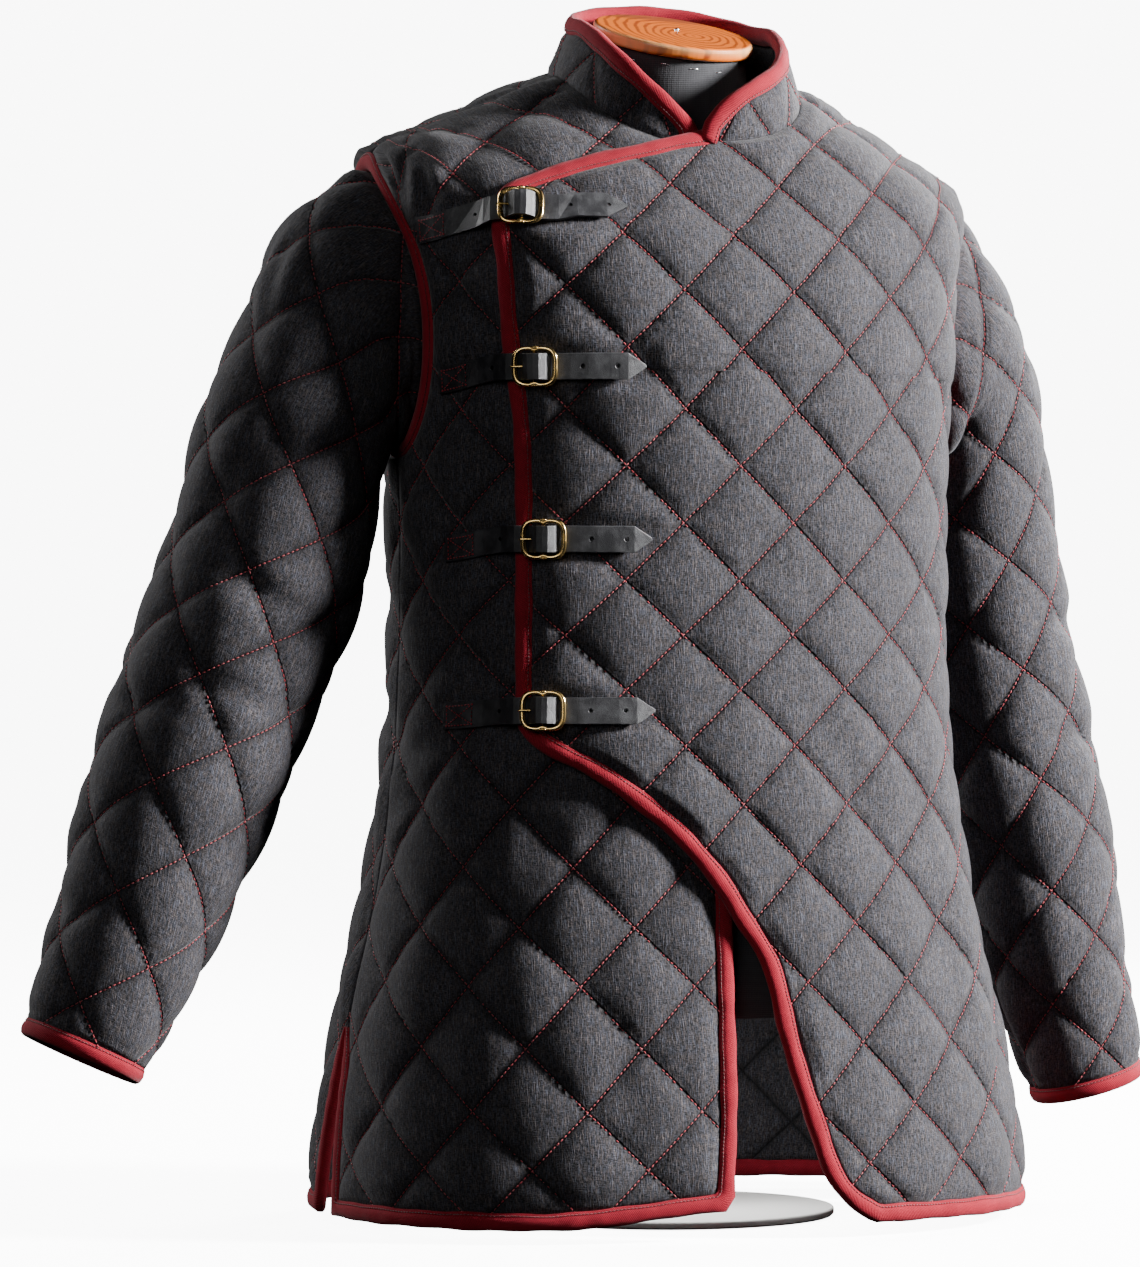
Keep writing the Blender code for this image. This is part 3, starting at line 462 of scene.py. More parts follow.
def wall_faces(index, under, ring):
    """Faces of a closed wall: its two sides and the rims that join them."""
    a, b = index[:-1, :-1].ravel(), index[:-1, 1:].ravel()
    d, c = index[1:, :-1].ravel(), index[1:, 1:].ravel()
    low, high = index[0], index[-1]
    faces = [
        np.stack([a, b, c, d], 1),
        np.stack([d, c, b, a], 1) + under,
        np.stack([low[:-1], low[:-1] + under, low[1:] + under, low[1:]], 1),
        np.stack([high[1:], high[1:] + under, high[:-1] + under, high[:-1]], 1),
    ]
    if not ring:
        left, right = index[:, 0], index[:, -1]
        faces.append(np.stack([left[1:], left[1:] + under, left[:-1] + under, left[:-1]], 1))
        faces.append(np.stack([right[:-1], right[:-1] + under, right[1:] + under, right[1:]], 1))
    return np.concatenate(faces)


def wall(name, outer, inner, cloth, lattice, ring=False):
    """A closed wall between two like grids; a ring's rows close on themselves."""
    rows, columns = outer.shape[:2]
    index = np.arange(rows * columns).reshape(rows, columns)
    spread = np.arange(rows * cloth.shape[1]).reshape(rows, cloth.shape[1])
    if ring:
        index = np.concatenate([index, index[:, :1]], axis=1)
    faces = wall_faces(index, rows * columns, ring)
    corners = wall_faces(spread, spread.size, ring).ravel()
    points = np.concatenate([outer.reshape(-1, 3), inner.reshape(-1, 3)])
    layers = {"cloth": np.stack([cloth, cloth]), "lattice": np.stack([lattice, lattice])}
    return build_mesh(name, points, faces.tolist(), corners, **layers)


def closed_round(values):
    """A ring's values with one more column, which carries on past the seam."""
    return np.concatenate([values, 2 * values[:, -1:] - values[:, -2:-1]], axis=1)


def lattice_lines(fields, points, normals):
    """Where stitch lines cross a grid: points, normals and the edges that join them."""
    places, ups, edges = [], [], []
    for field in fields:
        whole = np.floor(field)
        ids = []
        for axis in (0, 1):
            first = [slice(None), slice(None)]
            second = [slice(None), slice(None)]
            first[axis], second[axis] = slice(None, -1), slice(1, None)
            first, second = tuple(first), tuple(second)
            crossed = whole[first] != whole[second]
            target = np.maximum(whole[first], whole[second])
            part = ((target - field[first]) / np.where(crossed, field[second] - field[first], 1.0))
            part = part[crossed][:, None]
            number = np.full(crossed.shape, -1)
            number[crossed] = np.arange(crossed.sum()) + sum(len(block) for block in places)
            places.append(points[first][crossed] * (1 - part) + points[second][crossed] * part)
            ups.append(normals[first][crossed] * (1 - part) + normals[second][crossed] * part)
            ids.append(number)
        sides = np.stack([ids[1][:-1], ids[1][1:], ids[0][:, :-1], ids[0][:, 1:]], -1)
        met = (sides >= 0).sum(axis=-1) == 2
        pairs = np.sort(sides[met], axis=-1)[:, 2:]
        edges.append(pairs)
    return np.concatenate(places), unit(np.concatenate(ups)), np.concatenate(edges)


class Value:
    """A socket of a material's tree, on which arithmetic adds Math nodes."""

    def __init__(self, paint, socket):
        self.paint, self.socket = paint, socket

    def math(self, operation, *others):
        return self.paint.node("Math", {"operation": operation}, self, *others)

    def __add__(self, other):
        return self.math("ADD", other)

    def __radd__(self, other):
        return self.math("ADD", other)

    def __sub__(self, other):
        return self.math("SUBTRACT", other)

    def __rsub__(self, other):
        return self.paint.node("Math", {"operation": "SUBTRACT"}, other, self)

    def __mul__(self, other):
        return self.math("MULTIPLY", other)

    def __rmul__(self, other):
        return self.math("MULTIPLY", other)

    def __truediv__(self, other):
        return self.math("DIVIDE", other)

    def __pow__(self, other):
        return self.math("POWER", other)


class Paint:
    """A material and its node tree."""

    def __init__(self, name, roughness, metallic=0.0, **fixed):
        self.material = bpy.data.materials.new(name)
        self.material.use_nodes = True
        self.tree = self.material.node_tree
        self.shader = self.tree.nodes["Principled BSDF"]
        self.shader.inputs["Roughness"].default_value = roughness
        self.shader.inputs["Metallic"].default_value = metallic
        for socket, value in fixed.items():
            self.shader.inputs[socket.replace("_", " ")].default_value = value

    def put(self, socket, value):
        if isinstance(value, Value):
            self.tree.links.new(value.socket, socket)
        elif isinstance(value, tuple) and len(value) == 3 and socket.type == "RGBA":
            socket.default_value = (*value, 1.0)
        else:
            socket.default_value = value

    def node(self, kind, settings, *values, output=0, **named):
        made = self.tree.nodes.new("ShaderNode" + kind)
        for setting, value in settings.items():
            setattr(made, setting, value)
        for socket, value in zip(made.inputs, values):
            self.put(socket, value)
        for name, value in named.items():
            self.put(made.inputs[name.replace("_", " ")], value)
        return Value(self, made.outputs[output])

    def place(self, layer=None):
        """Object coordinates, or one of the piece's own layers."""
        if layer is None:
            return self.node("TexCoord", {}, output="Object")
        return self.node("UVMap", {"uv_map": layer})

    def scaled(self, place, scale, turn=(0.0, 0.0, 0.0)):
        return self.node("Mapping", {}, Vector=place, Rotation=turn, Scale=scale)

    def noise(self, place, scale, detail=2.0, roughness=0.5, distortion=0.0):
        return self.node(
            "TexNoise", {}, Vector=place, Scale=scale, Detail=detail, Roughness=roughness,
            Distortion=distortion,
        )

    def parts(self, place):
        split = self.tree.nodes.new("ShaderNodeSeparateXYZ")
        self.put(split.inputs[0], place)
        return [Value(self, socket) for socket in split.outputs]

    def between(self, value, low, high, out_low=0.0, out_high=1.0):
        smooth_step = {"interpolation_type": "SMOOTHSTEP"}
        return self.node("MapRange", smooth_step, value, low, high, out_low, out_high)

    def mix(self, share, first, second, blend="MIX"):
        made = self.tree.nodes.new("ShaderNodeMix")
        made.data_type, made.blend_type = "RGBA", blend
        self.put(made.inputs[0], share)
        self.put(made.inputs[6], first)
        self.put(made.inputs[7], second)
        return Value(self, made.outputs[2])

    def finish(self, colour, bump=None, depth=0.001, strength=1.0, roughness=None):
        self.put(self.shader.inputs["Base Color"], colour)
        if roughness is not None:
            self.put(self.shader.inputs["Roughness"], roughness)
        if bump is not None:
            relief = self.node("Bump", {}, Strength=strength, Distance=depth, Height=bump)
            self.put(self.shader.inputs["Normal"], relief)
        return self.material


def thread_lines(paint, lattice, reach):
    """Closeness to a stitch line, 0 beyond a reach and 1 on it, in lattice coordinates."""
    first, second, _ = paint.parts(lattice)
    near = []
    for place in (first, second):
        wave = (place * math.pi).math("SINE").math("ABSOLUTE")
        near.append(paint.between(wave, 0.0, reach, 1.0, 0.0))
    return near[0].math("MAXIMUM", near[1])


def linen_material(name, dark, pale):
    """Black linen flecked with grey, blue and brown threads, puckered along its stitch lines, with painted
    shade on each stitch line and in the hollows beside it.
    """
    paint = Paint(name, 0.86, Sheen_Weight=0.10, Sheen_Roughness=0.4, Specular_IOR_Level=0.2)
    cloth, lattice = paint.place("cloth"), paint.place("lattice")
    warp = paint.noise(paint.scaled(cloth, (1700.0, 330.0, 1.0)), 1.0, 3.0, 0.65)
    weft = paint.noise(paint.scaled(cloth, (380.0, 1700.0, 1.0)), 1.0, 3.0, 0.65)
    slub_up = paint.between(paint.noise(paint.scaled(cloth, (1250.0, 90.0, 1.0)), 1.0, 2.0), 0.48, 0.74)
    slub_over = paint.between(paint.noise(paint.scaled(cloth, (150.0, 1500.0, 1.0)), 1.0, 2.0), 0.55, 0.78)
    streak = paint.noise(paint.scaled(cloth, (260.0, 14.0, 1.0)), 1.0, 2.0)
    hue = paint.noise(paint.scaled(cloth, (700.0, 150.0, 1.0)), 1.0, 3.0, 0.6)
    fade = paint.noise(cloth, 38.0, 3.0, 0.6)
    weave = warp * 0.55 + weft * 0.45
    grey = paint.between(weave, 0.40, 0.62) * 0.62 + slub_up * 0.42 + slub_over * 0.26
    grey = grey * (fade * 0.5 + 0.45) * (streak * 0.9 + 0.60)
    crease = thread_lines(paint, lattice, 0.10)
    valley = thread_lines(paint, lattice, 0.42)
    # Painted shade: the colour is darkened on each stitch line and, more softly, in the hollows on either
    # side, where the quilting sinks.
    grey = grey * (1.0 - crease * 0.55) * (1.0 - valley * 0.38)
    blue = (pale[0] * 0.90, pale[1] * 0.98, pale[2] * 1.14)
    brown = (pale[0] * 1.13, pale[1] * 1.00, pale[2] * 0.90)
    pale = paint.mix(paint.between(hue, 0.40, 0.60), blue, brown)
    colour = paint.mix(grey, dark, pale)
    pucker = paint.noise(paint.scaled(lattice, (17.0, 17.0, 1.0)), 1.0, 1.0)
    rumple = paint.noise(cloth, 150.0, 2.0)
    height = weave * 0.30 + (slub_up + slub_over) * 0.15 + rumple * 0.45
    height = height - crease * (pucker * 0.9 + 0.8) - valley * (pucker * 0.7 + 0.3)
    return paint.finish(colour, height, 0.0012, 0.9)


def binding_material(colour):
    """Crimson wool twill: fine ridges slanting across the tape."""
    paint = Paint("crimson_twill", 0.88, Sheen_Weight=0.08, Sheen_Roughness=0.4, Specular_IOR_Level=0.12)
    cloth = paint.place("cloth")
    turned = paint.scaled(cloth, (1.0, 1.0, 1.0), (0.0, 0.0, math.radians(38.0)))
    across, _, _ = paint.parts(turned)
    ridge = (across * (2 * math.pi / 0.0010)).math("SINE") * 0.5 + 0.5
    fuzz = paint.noise(cloth, 1400.0, 3.0, 0.7)
    wear = paint.noise(cloth, 70.0, 3.0, 0.6)
    shade = ridge * 0.25 + fuzz * 0.75
    dark = tuple(part * 0.42 for part in colour)
    light = tuple(min(part * 1.35 + 0.012, 1.0) for part in colour)
    tint = paint.mix(paint.between(shade, 0.25, 0.80), dark, light)
    tint = paint.mix(paint.between(wear, 0.35, 0.75) * 0.35, tint, dark)
    height = ridge * 0.4 + fuzz * 0.6 + wear * 1.6
    return paint.finish(tint, height, 0.0005, 0.7)


def thread_material(name, colour):
    paint = Paint(name, 0.55, Sheen_Weight=0.2)
    ply = paint.noise(paint.place(), 900.0, 2.0)
    tint = paint.mix(ply, tuple(part * 0.55 for part in colour), colour)
    return paint.finish(tint, ply, 0.0002)


def leather_material():
    paint = Paint("black_strap_leather", 0.42, Specular_IOR_Level=0.5)
    place = paint.place()
    pores = paint.node("TexVoronoi", {"feature": "DISTANCE_TO_EDGE"}, Vector=place, Scale=1500.0)
    grain = paint.noise(place, 700.0, 4.0, 0.6)
    wear = paint.noise(place, 90.0, 4.0, 0.65)
    colour = paint.mix(paint.between(wear, 0.40, 0.75), (0.013, 0.013, 0.015), (0.040, 0.040, 0.044))
    height = paint.between(pores, 0.0, 0.25) * 0.4 + grain * 0.6
    gloss = paint.between(wear, 0.3, 0.8, 0.34, 0.55)
    return paint.finish(colour, height, 0.00025, 0.6, gloss)


def brass_material():
    paint = Paint("polished_brass", 0.2, 1.0)
    place = paint.place()
    tarnish = paint.noise(place, 160.0, 4.0, 0.6)
    fine = paint.noise(place, 1800.0, 2.0)
    colour = paint.mix(paint.between(tarnish, 0.35, 0.75), (0.86, 0.60, 0.24), (0.58, 0.36, 0.11))
    gloss = paint.between(tarnish, 0.3, 0.8, 0.14, 0.34)
    return paint.finish(colour, fine, 0.0001, 0.3, gloss)


def jersey_material():
    paint = Paint("black_form_jersey", 0.92, Sheen_Weight=0.3)
    place = paint.place()
    x, y, z = paint.parts(place)
    ribs = ((x * 5200.0).math("SINE") + (y * 5200.0).math("SINE")) * 0.25 + 0.5
    courses = (z * 4600.0).math("SINE") * 0.5 + 0.5
    fuzz = paint.noise(place, 900.0, 2.0)
    knit = ribs * 0.3 + courses * 0.3 + fuzz * 0.4
    colour = paint.mix(knit, (0.008, 0.008, 0.010), (0.032, 0.032, 0.037))
    return paint.finish(colour, knit, 0.0004, 0.6)


def pine_material(centre):
    """Orange varnished pine: growth rings about a pith beyond the middle, fine pores, painted shade over
    its back part and a painted highlight round its rounded rim.
    """
    paint = Paint("varnished_pine", 0.32, Coat_Weight=0.15, Coat_Roughness=0.18)
    place = paint.node("VectorMath", {"operation": "SUBTRACT"}, paint.place(), centre)
    x, y = paint.parts(place)[:2]
    wobble = paint.noise(paint.place(), 16.0, 3.0, 0.5)
    reach = ((x - 0.012) ** 2.0 + ((y + 0.010) * 0.80) ** 2.0).math("SQRT")
    rings = ((reach + wobble * 0.020) * (2 * math.pi / 0.0062)).math("SINE") * 0.5 + 0.5
    late = paint.between(rings, 0.45, 0.98)
    grain = paint.noise(paint.scaled(paint.place(), (60.0, 900.0, 60.0)), 1.0, 3.0, 0.6)
    colour = paint.mix(late, (0.52, 0.105, 0.005), (0.19, 0.024, 0.0015))
    colour = paint.mix(paint.between(grain, 0.35, 0.7) * 0.35, colour, (0.60, 0.16, 0.012))
    # Painted shade: the back part of the cap, beyond a line across its top, is darkened.
    back_shade = paint.between(y, 0.030, 0.040) * 0.75
    colour = paint.mix(back_shade, colour, (0.115, 0.035, 0.012))
    # Painted highlight: the rounded rim is made paler all round, as if it caught the light.
    rim = paint.between((x ** 2.0 + y ** 2.0).math("SQRT"), 0.0545, 0.0572)
    colour = paint.mix(rim * 0.7, colour, (0.80, 0.50, 0.22))
    return paint.finish(colour, late * 0.3 + grain * 0.3, 0.0003, 0.4)


def steel_material():
    paint = Paint("white_enamelled_steel", 0.38)
    speckle = paint.noise(paint.place(), 420.0, 3.0, 0.6)
    haze = paint.noise(paint.place(), 9.0, 3.0)
    colour = paint.mix(haze, (0.78, 0.77, 0.75), (0.83, 0.82, 0.80))
    return paint.finish(colour, speckle, 0.0002, 0.25, paint.between(haze, 0.3, 0.7, 0.34, 0.46))


def floor_material():
    paint = Paint("studio_paper", 0.9, Emission_Strength=9.0, Emission_Color=(1.0, 1.0, 1.0, 1.0))
    cloud = paint.noise(paint.place(), 0.8, 2.0)
    return paint.finish(paint.mix(cloud, (0.90, 0.90, 0.90), (0.93, 0.93, 0.93)))


# Large soft folds, in lengths along a panel from its middle and up the cloth
FRONT_FOLDS = (
    Fold(-0.262, 0.690, 6, 0.070, 0.0105, 0.0034),
    Fold(-0.232, 0.715, -4, 0.055, 0.0100, 0.0030),
    Fold(-0.205, 0.660, 8, 0.080, 0.0110, 0.0026),
    Fold(-0.270, 0.600, 24, 0.060, 0.0120, 0.0030),
    Fold(-0.286, 0.520, 38, 0.050, 0.0130, 0.0030),
    Fold(-0.292, 0.455, 60, 0.042, 0.0120, 0.0034),
    Fold(-0.300, 0.400, 74, 0.050, 0.0120, 0.0034),
    Fold(-0.296, 0.345, 98, 0.050, 0.0130, 0.0032),
    Fold(-0.280, 0.290, 82, 0.050, 0.0140, 0.0026),
    Fold(-0.235, 0.335, 70, 0.045, 0.0120, 0.0020),
    Fold(-0.150, 0.250, 24, 0.110, 0.0190, 0.0022),
    Fold(-0.215, 0.160, 10, 0.120, 0.0210, 0.0026),
    Fold(-0.095, 0.115, -8, 0.095, 0.0180, 0.0022),
    Fold(0.085, 0.300, -28, 0.130, 0.0200, 0.0024),
    Fold(0.150, 0.215, -10, 0.130, 0.0230, 0.0028),
    Fold(0.235, 0.150, 6, 0.130, 0.0220, 0.0030),
    Fold(0.292, 0.330, 84, 0.052, 0.0130, 0.0030),
    Fold(0.286, 0.405, 102, 0.050, 0.0130, 0.0030),
    Fold(0.292, 0.470, 78, 0.045, 0.0120, 0.0030),
    Fold(0.270, 0.560, -30, 0.060, 0.0140, 0.0032),
    Fold(0.240, 0.640, -14, 0.070, 0.0130, 0.0026),
    Fold(0.120, 0.560, 50, 0.060, 0.0170, 0.0013),
    Fold(0.030, 0.460, -48, 0.070, 0.0180, 0.0012),
)
BACK_FOLDS = (
    Fold(-0.225, 0.345, 88, 0.055, 0.0140, 0.0034),
    Fold(-0.210, 0.430, 72, 0.060, 0.0140, 0.0030),
    Fold(-0.190, 0.505, 58, 0.060, 0.0150, 0.0026),
    Fold(0.222, 0.360, 94, 0.055, 0.0140, 0.0034),
    Fold(0.205, 0.445, 106, 0.060, 0.0140, 0.0030),
    Fold(0.185, 0.515, 120, 0.060, 0.0150, 0.0026),
    Fold(-0.205, 0.215, 5, 0.130, 0.0230, 0.0030),
    Fold(-0.095, 0.165, -5, 0.130, 0.0220, 0.0028),
    Fold(0.020, 0.240, 3, 0.120, 0.0240, 0.0024),
    Fold(0.110, 0.150, 6, 0.120, 0.0220, 0.0028),
    Fold(0.215, 0.230, -6, 0.130, 0.0230, 0.0030),
    Fold(-0.090, 0.660, 36, 0.080, 0.0150, 0.0028),
    Fold(0.085, 0.655, -36, 0.080, 0.0150, 0.0028),
    Fold(0.005, 0.745, 88, 0.060, 0.0130, 0.0022),
)
# Folds of the sleeves: along is round from the outer line, up is from the cuff
RIGHT_SLEEVE_FOLDS = (
    Fold(-0.035, 0.555, 10, 0.060, 0.0085, 0.0036),
    Fold(-0.062, 0.520, -6, 0.060, 0.0085, 0.0032),
    Fold(-0.010, 0.545, 18, 0.055, 0.0080, 0.0030),
    Fold(0.022, 0.545, -12, 0.050, 0.0085, 0.0028),
    Fold(-0.085, 0.450, -38, 0.055, 0.0110, 0.0034),
    Fold(-0.110, 0.385, 70, 0.045, 0.0110, 0.0034),
    Fold(-0.060, 0.335, 62, 0.050, 0.0120, 0.0032),
    Fold(-0.105, 0.300, 84, 0.050, 0.0120, 0.0038),
    Fold(-0.040, 0.250, 104, 0.050, 0.0120, 0.0032),
    Fold(-0.090, 0.205, 76, 0.045, 0.0110, 0.0030),
    Fold(0.030, 0.230, 80, 0.055, 0.0130, 0.0026),
    Fold(-0.040, 0.140, 66, 0.045, 0.0110, 0.0028),
    Fold(0.060, 0.420, 30, 0.070, 0.0130, 0.0026),
    Fold(0.090, 0.330, 98, 0.050, 0.0120, 0.0030),
    Fold(0.100, 0.260, 84, 0.050, 0.0120, 0.0030),
    Fold(0.010, 0.080, 88, 0.045, 0.0110, 0.0022),
)
LEFT_SLEEVE_FOLDS = (
    Fold(-0.040, 0.540, -12, 0.060, 0.0085, 0.0032),
    Fold(-0.012, 0.550, 8, 0.060, 0.0085, 0.0032),
    Fold(0.030, 0.540, -16, 0.055, 0.0085, 0.0030),
    Fold(-0.075, 0.460, 42, 0.060, 0.0110, 0.0036),
    Fold(-0.060, 0.400, 74, 0.050, 0.0110, 0.0036),
    Fold(-0.080, 0.345, 100, 0.045, 0.0110, 0.0034),
    Fold(-0.030, 0.300, 82, 0.050, 0.0120, 0.0036),
    Fold(-0.070, 0.255, 70, 0.045, 0.0110, 0.0030),
    Fold(-0.020, 0.190, 96, 0.050, 0.0120, 0.0030),
    Fold(0.040, 0.330, 88, 0.050, 0.0120, 0.0030),
    Fold(0.060, 0.250, 76, 0.050, 0.0120, 0.0028),
    Fold(-0.050, 0.125, 84, 0.045, 0.0110, 0.0026),
    Fold(0.000, 0.070, 94, 0.045, 0.0110, 0.0022),
)

# Straps: where the sewn end, buckle and tip lie round the body, and their heights
Strap = namedtuple("Strap", "sewn_angle sewn_z buckle_angle z tip_angle")
STRAPS = (
    Strap(-66.5, 0.6960, -38.2, 0.7035, -19.8),
    Strap(-65.5, 0.5910, -38.9, 0.5995, -17.9),
    Strap(-65.5, 0.4740, -38.0, 0.4810, -17.0),
    Strap(-65.0, 0.3575, -37.8, 0.3615, -16.4),
)
CLOTH_LOW = 0.0010
SWELL_OUT = 0.0066
SWELL_IN = 0.0018
EDGE_LIFT = 0.0020
STRAP_REACH = 0.0125
PRESSED = 0.0030

pieces = {}


def strap_press(angle, points, lifted):
    """Where a strap lies on the cloth, 0 to 1: the padding is pressed flat beneath it."""
    share = np.zeros_like(angle)
    for strap in STRAPS:
        slope = (strap.z - strap.sewn_z) * smooth((angle - strap.sewn_angle) / 20.0)
        near = smooth(1.5 - np.abs(points[..., 2] - strap.sewn_z - slope) / STRAP_REACH)
        end = strap.tip_angle + 3.0 if lifted else strap.buckle_angle
        span = smooth((angle - strap.sewn_angle + 5.0) / 3.0) * smooth((end - angle) / 3.0)
        share = np.maximum(share, near * span)
    return share


def cloth_panel(name, angle, level, lift):
    """A panel of the body: its quilted wall, and the paths of its stitch lines."""
    base = lift(angle)
    points, normal = body_point(angle, level), body_normal(angle, level)
    first, second = body_lattice(angle, level)
    along, up = cloth_place(angle, level)
    edge = edge_distance(points)
    swell = puff(first, second, edge)
    crease = folds(BACK_FOLDS if name == "back" else FRONT_FOLDS, along, up) * smooth(edge / 0.02)
    out = CLOTH_LOW + EDGE_LIFT * (1 - smooth(edge / 0.010)) * 0.6 + SWELL_OUT * swell
    if name != "back":
        press = strap_press(angle, points, name == "left_front")
        out = out * (1 - press) + np.minimum(out, PRESSED) * press
        crease = crease * (1 - press)
    bottom = -CLOTH_LOW - SWELL_IN * swell - 0.0008
    outer = points + normal * (base + out + crease)[..., None]
    inner = points + normal * (base + bottom + crease * 0.6)[..., None]
    uv, lattice = np.stack([along, up], -1), np.stack([first, second], -1)
    pieces[name] = wall(name + "_cloth", outer, inner, uv, lattice)
    return outer, normal, lattice_lines((first, second), outer, normal)


def sleeve_grid(side, table):
    """Turns round a sleeve from the underarm, and its rows from the armhole to the cuff."""
    turns = np.linspace(-math.pi / 2, math.pi * 1.5, 93)[:-1]
    if side > 0:
        turns = turns[::-1]
    fine = np.linspace(0.0, len(table) - 1.0, 500)
    line = np.mean([sleeve_point(side, table, fine, np.full_like(fine, turn), 0.0)
                    for turn in (0.0, math.pi / 2, math.pi)], axis=0)
    length = np.concatenate([[0.0], np.cumsum(np.linalg.norm(np.diff(line, axis=0), axis=-1))])
    places = np.interp(np.linspace(0.0, length[-1], int(length[-1] / CELL)), length, fine)
    return np.meshgrid(places, turns, indexing="ij")


def armhole_place(side, turn, inset):
    """Angle and level on the armhole's edge, drawn in by an inset; turn 0 is its front."""
    forward, up = np.cos(turn), np.sin(turn)
    width = np.where(forward > 0, ARMHOLE_FRONT, ARMHOLE_BACK) - math.degrees(inset / 0.160)
    return side * (90.0 - width * forward), ARMHOLE_MIDDLE + (ARMHOLE_HALF - inset) * up


def sleeve_point(side, table, place, turn, lift):
    """Points of a sleeve; place counts the table's rows, turn 0 faces front, 90 outward."""
    rows = [(index, *row) for index, row in enumerate(table)]
    out, y, level, lean, across, deep = np.moveaxis(read_rows(rows, place), -1, 0)
    lean = np.radians(lean)
    round_y, round_over = -np.cos(turn), np.sin(turn)
    wide = (across + lift) * round_over
    point = np.stack([side * (out + np.cos(lean) * wide), y + (deep + lift) * round_y,
                      level + np.sin(lean) * wide], -1)
    first = table[0]
    base_lean = math.radians(first.lean)
    wide = first.across * round_over
    base = np.stack([side * (first.out + math.cos(base_lean) * wide),
                     first.y + first.deep * round_y, first.level + math.sin(base_lean) * wide], -1)
    seam = body_point(*armhole_place(side, turn, SLEEVE_INSET))
    settle = 1.0 - smooth(np.asarray(place) / 3.2)
    return point + (seam - base) * settle[..., None]


def cloth_sleeve(side, table, name, fold_table, net):
    """A sleeve's quilted wall and its stitch lines; net is its lattice."""
    place, turn = sleeve_grid(side, table)
    points = sleeve_point(side, table, place, turn, 0.0)
    closed = np.concatenate([points, points[:, :1]], axis=1)
    down = np.gradient(points, axis=0)
    over = (np.roll(points, -1, axis=1) - np.roll(points, 1, axis=1))
    normal = unit(np.cross(over, down))
    steps = np.linalg.norm(np.diff(closed, axis=1), axis=-1)
    run = np.cumsum(steps, axis=1) - steps
    middle = np.argmin(np.abs(turn[0] - math.pi / 2))
    along = (run - run[:, middle:middle + 1]) * side
    fall = np.linalg.norm(np.diff(points, axis=0), axis=-1)
    fall = np.concatenate([np.zeros((1, fall.shape[1])), np.cumsum(fall, axis=0)], axis=0)
    up = fall[-1] - fall
    across = (along - net.along - net.drift * up) / net.pitch
    rows = (up - net.up) / net.row
    first, second = across + rows / 2, across - rows / 2
    edge = edge_distance(points, ring=True)
    seam = np.minimum(run, run[:, -1:] + steps[:, -1:] - run)
    swell = puff(first, second, np.minimum(edge, seam + 0.002))
    crease = folds(fold_table, along, up) * smooth(edge / 0.02)
    outward = CLOTH_LOW + EDGE_LIFT * (1 - smooth(edge / 0.010)) + SWELL_OUT * swell
    outward -= 0.0012 * (1 - smooth(seam / 0.006))
    outer = points + normal * (outward + crease)[..., None]
    inner = points - normal * (CLOTH_LOW + SWELL_IN * swell + 0.0008 - crease * 0.6)[..., None]
    uv, lattice = np.stack([along, up], -1), np.stack([first, second], -1)
    pieces[name] = wall(name + "_cloth", outer, inner, closed_round(uv), closed_round(lattice), ring=True)
    return outer, normal, lattice_lines((first, second), outer, normal)


# Half section of a rolled binding: across from the cloth to the free edge, and its height
BIND_HALF = (
    (-1.16, 0.30), (-1.00, 0.86), (-0.74, 0.78), (-0.52, 1.06), (-0.10, 1.16), (0.35, 1.08),
    (0.72, 0.84), (0.94, 0.42),
)
BIND_SECTION = BIND_HALF + tuple((across, -height) for across, height in reversed(BIND_HALF))
STITCH_PLACE = (-0.74, 0.86)


def even_path(points, spacing=CELL):
    """Places along a path about a cell apart, as fractions of its points' indices."""
    steps = np.linalg.norm(np.diff(points, axis=0), axis=-1)
    length = np.concatenate([[0.0], np.cumsum(steps)])
    count = max(int(length[-1] / spacing), 3)
    return np.interp(np.linspace(0.0, length[-1], count), length, np.arange(len(points)))


def loft(name, sections, cloth, closed=False):
    """A solid through like sections, capped unless it closes on itself."""
    count, size = sections.shape[:2]
    index = np.arange(count * size).reshape(count, size)
    index = np.concatenate([index, index[:, :1]], axis=1)
    spread = np.arange((count + 1) * (size + 1)).reshape(count + 1, size + 1)
    if closed:
        index = np.concatenate([index, index[:1]], axis=0)
    else:
        spread = spread[:-1]
    quads = [np.stack([grid[:-1, :-1].ravel(), grid[:-1, 1:].ravel(), grid[1:, 1:].ravel(),
                       grid[1:, :-1].ravel()], 1) for grid in (index, spread)]
    faces, corners = quads[0].tolist(), quads[1].ravel().tolist()
    if not closed:
        for row, turn in ((0, -1), (-1, 1)):
            faces.append(index[row, :-1].tolist()[::turn])
            corners += spread[row, :-1].tolist()[::turn]
    obj = build_mesh(name, sections.reshape(-1, 3), faces, corners, cloth=cloth)
    shape = bmesh.new()
    shape.from_mesh(obj.data)
    bmesh.ops.recalc_face_normals(shape, faces=shape.faces[:])
    shape.to_mesh(obj.data)
    shape.free()
    return obj


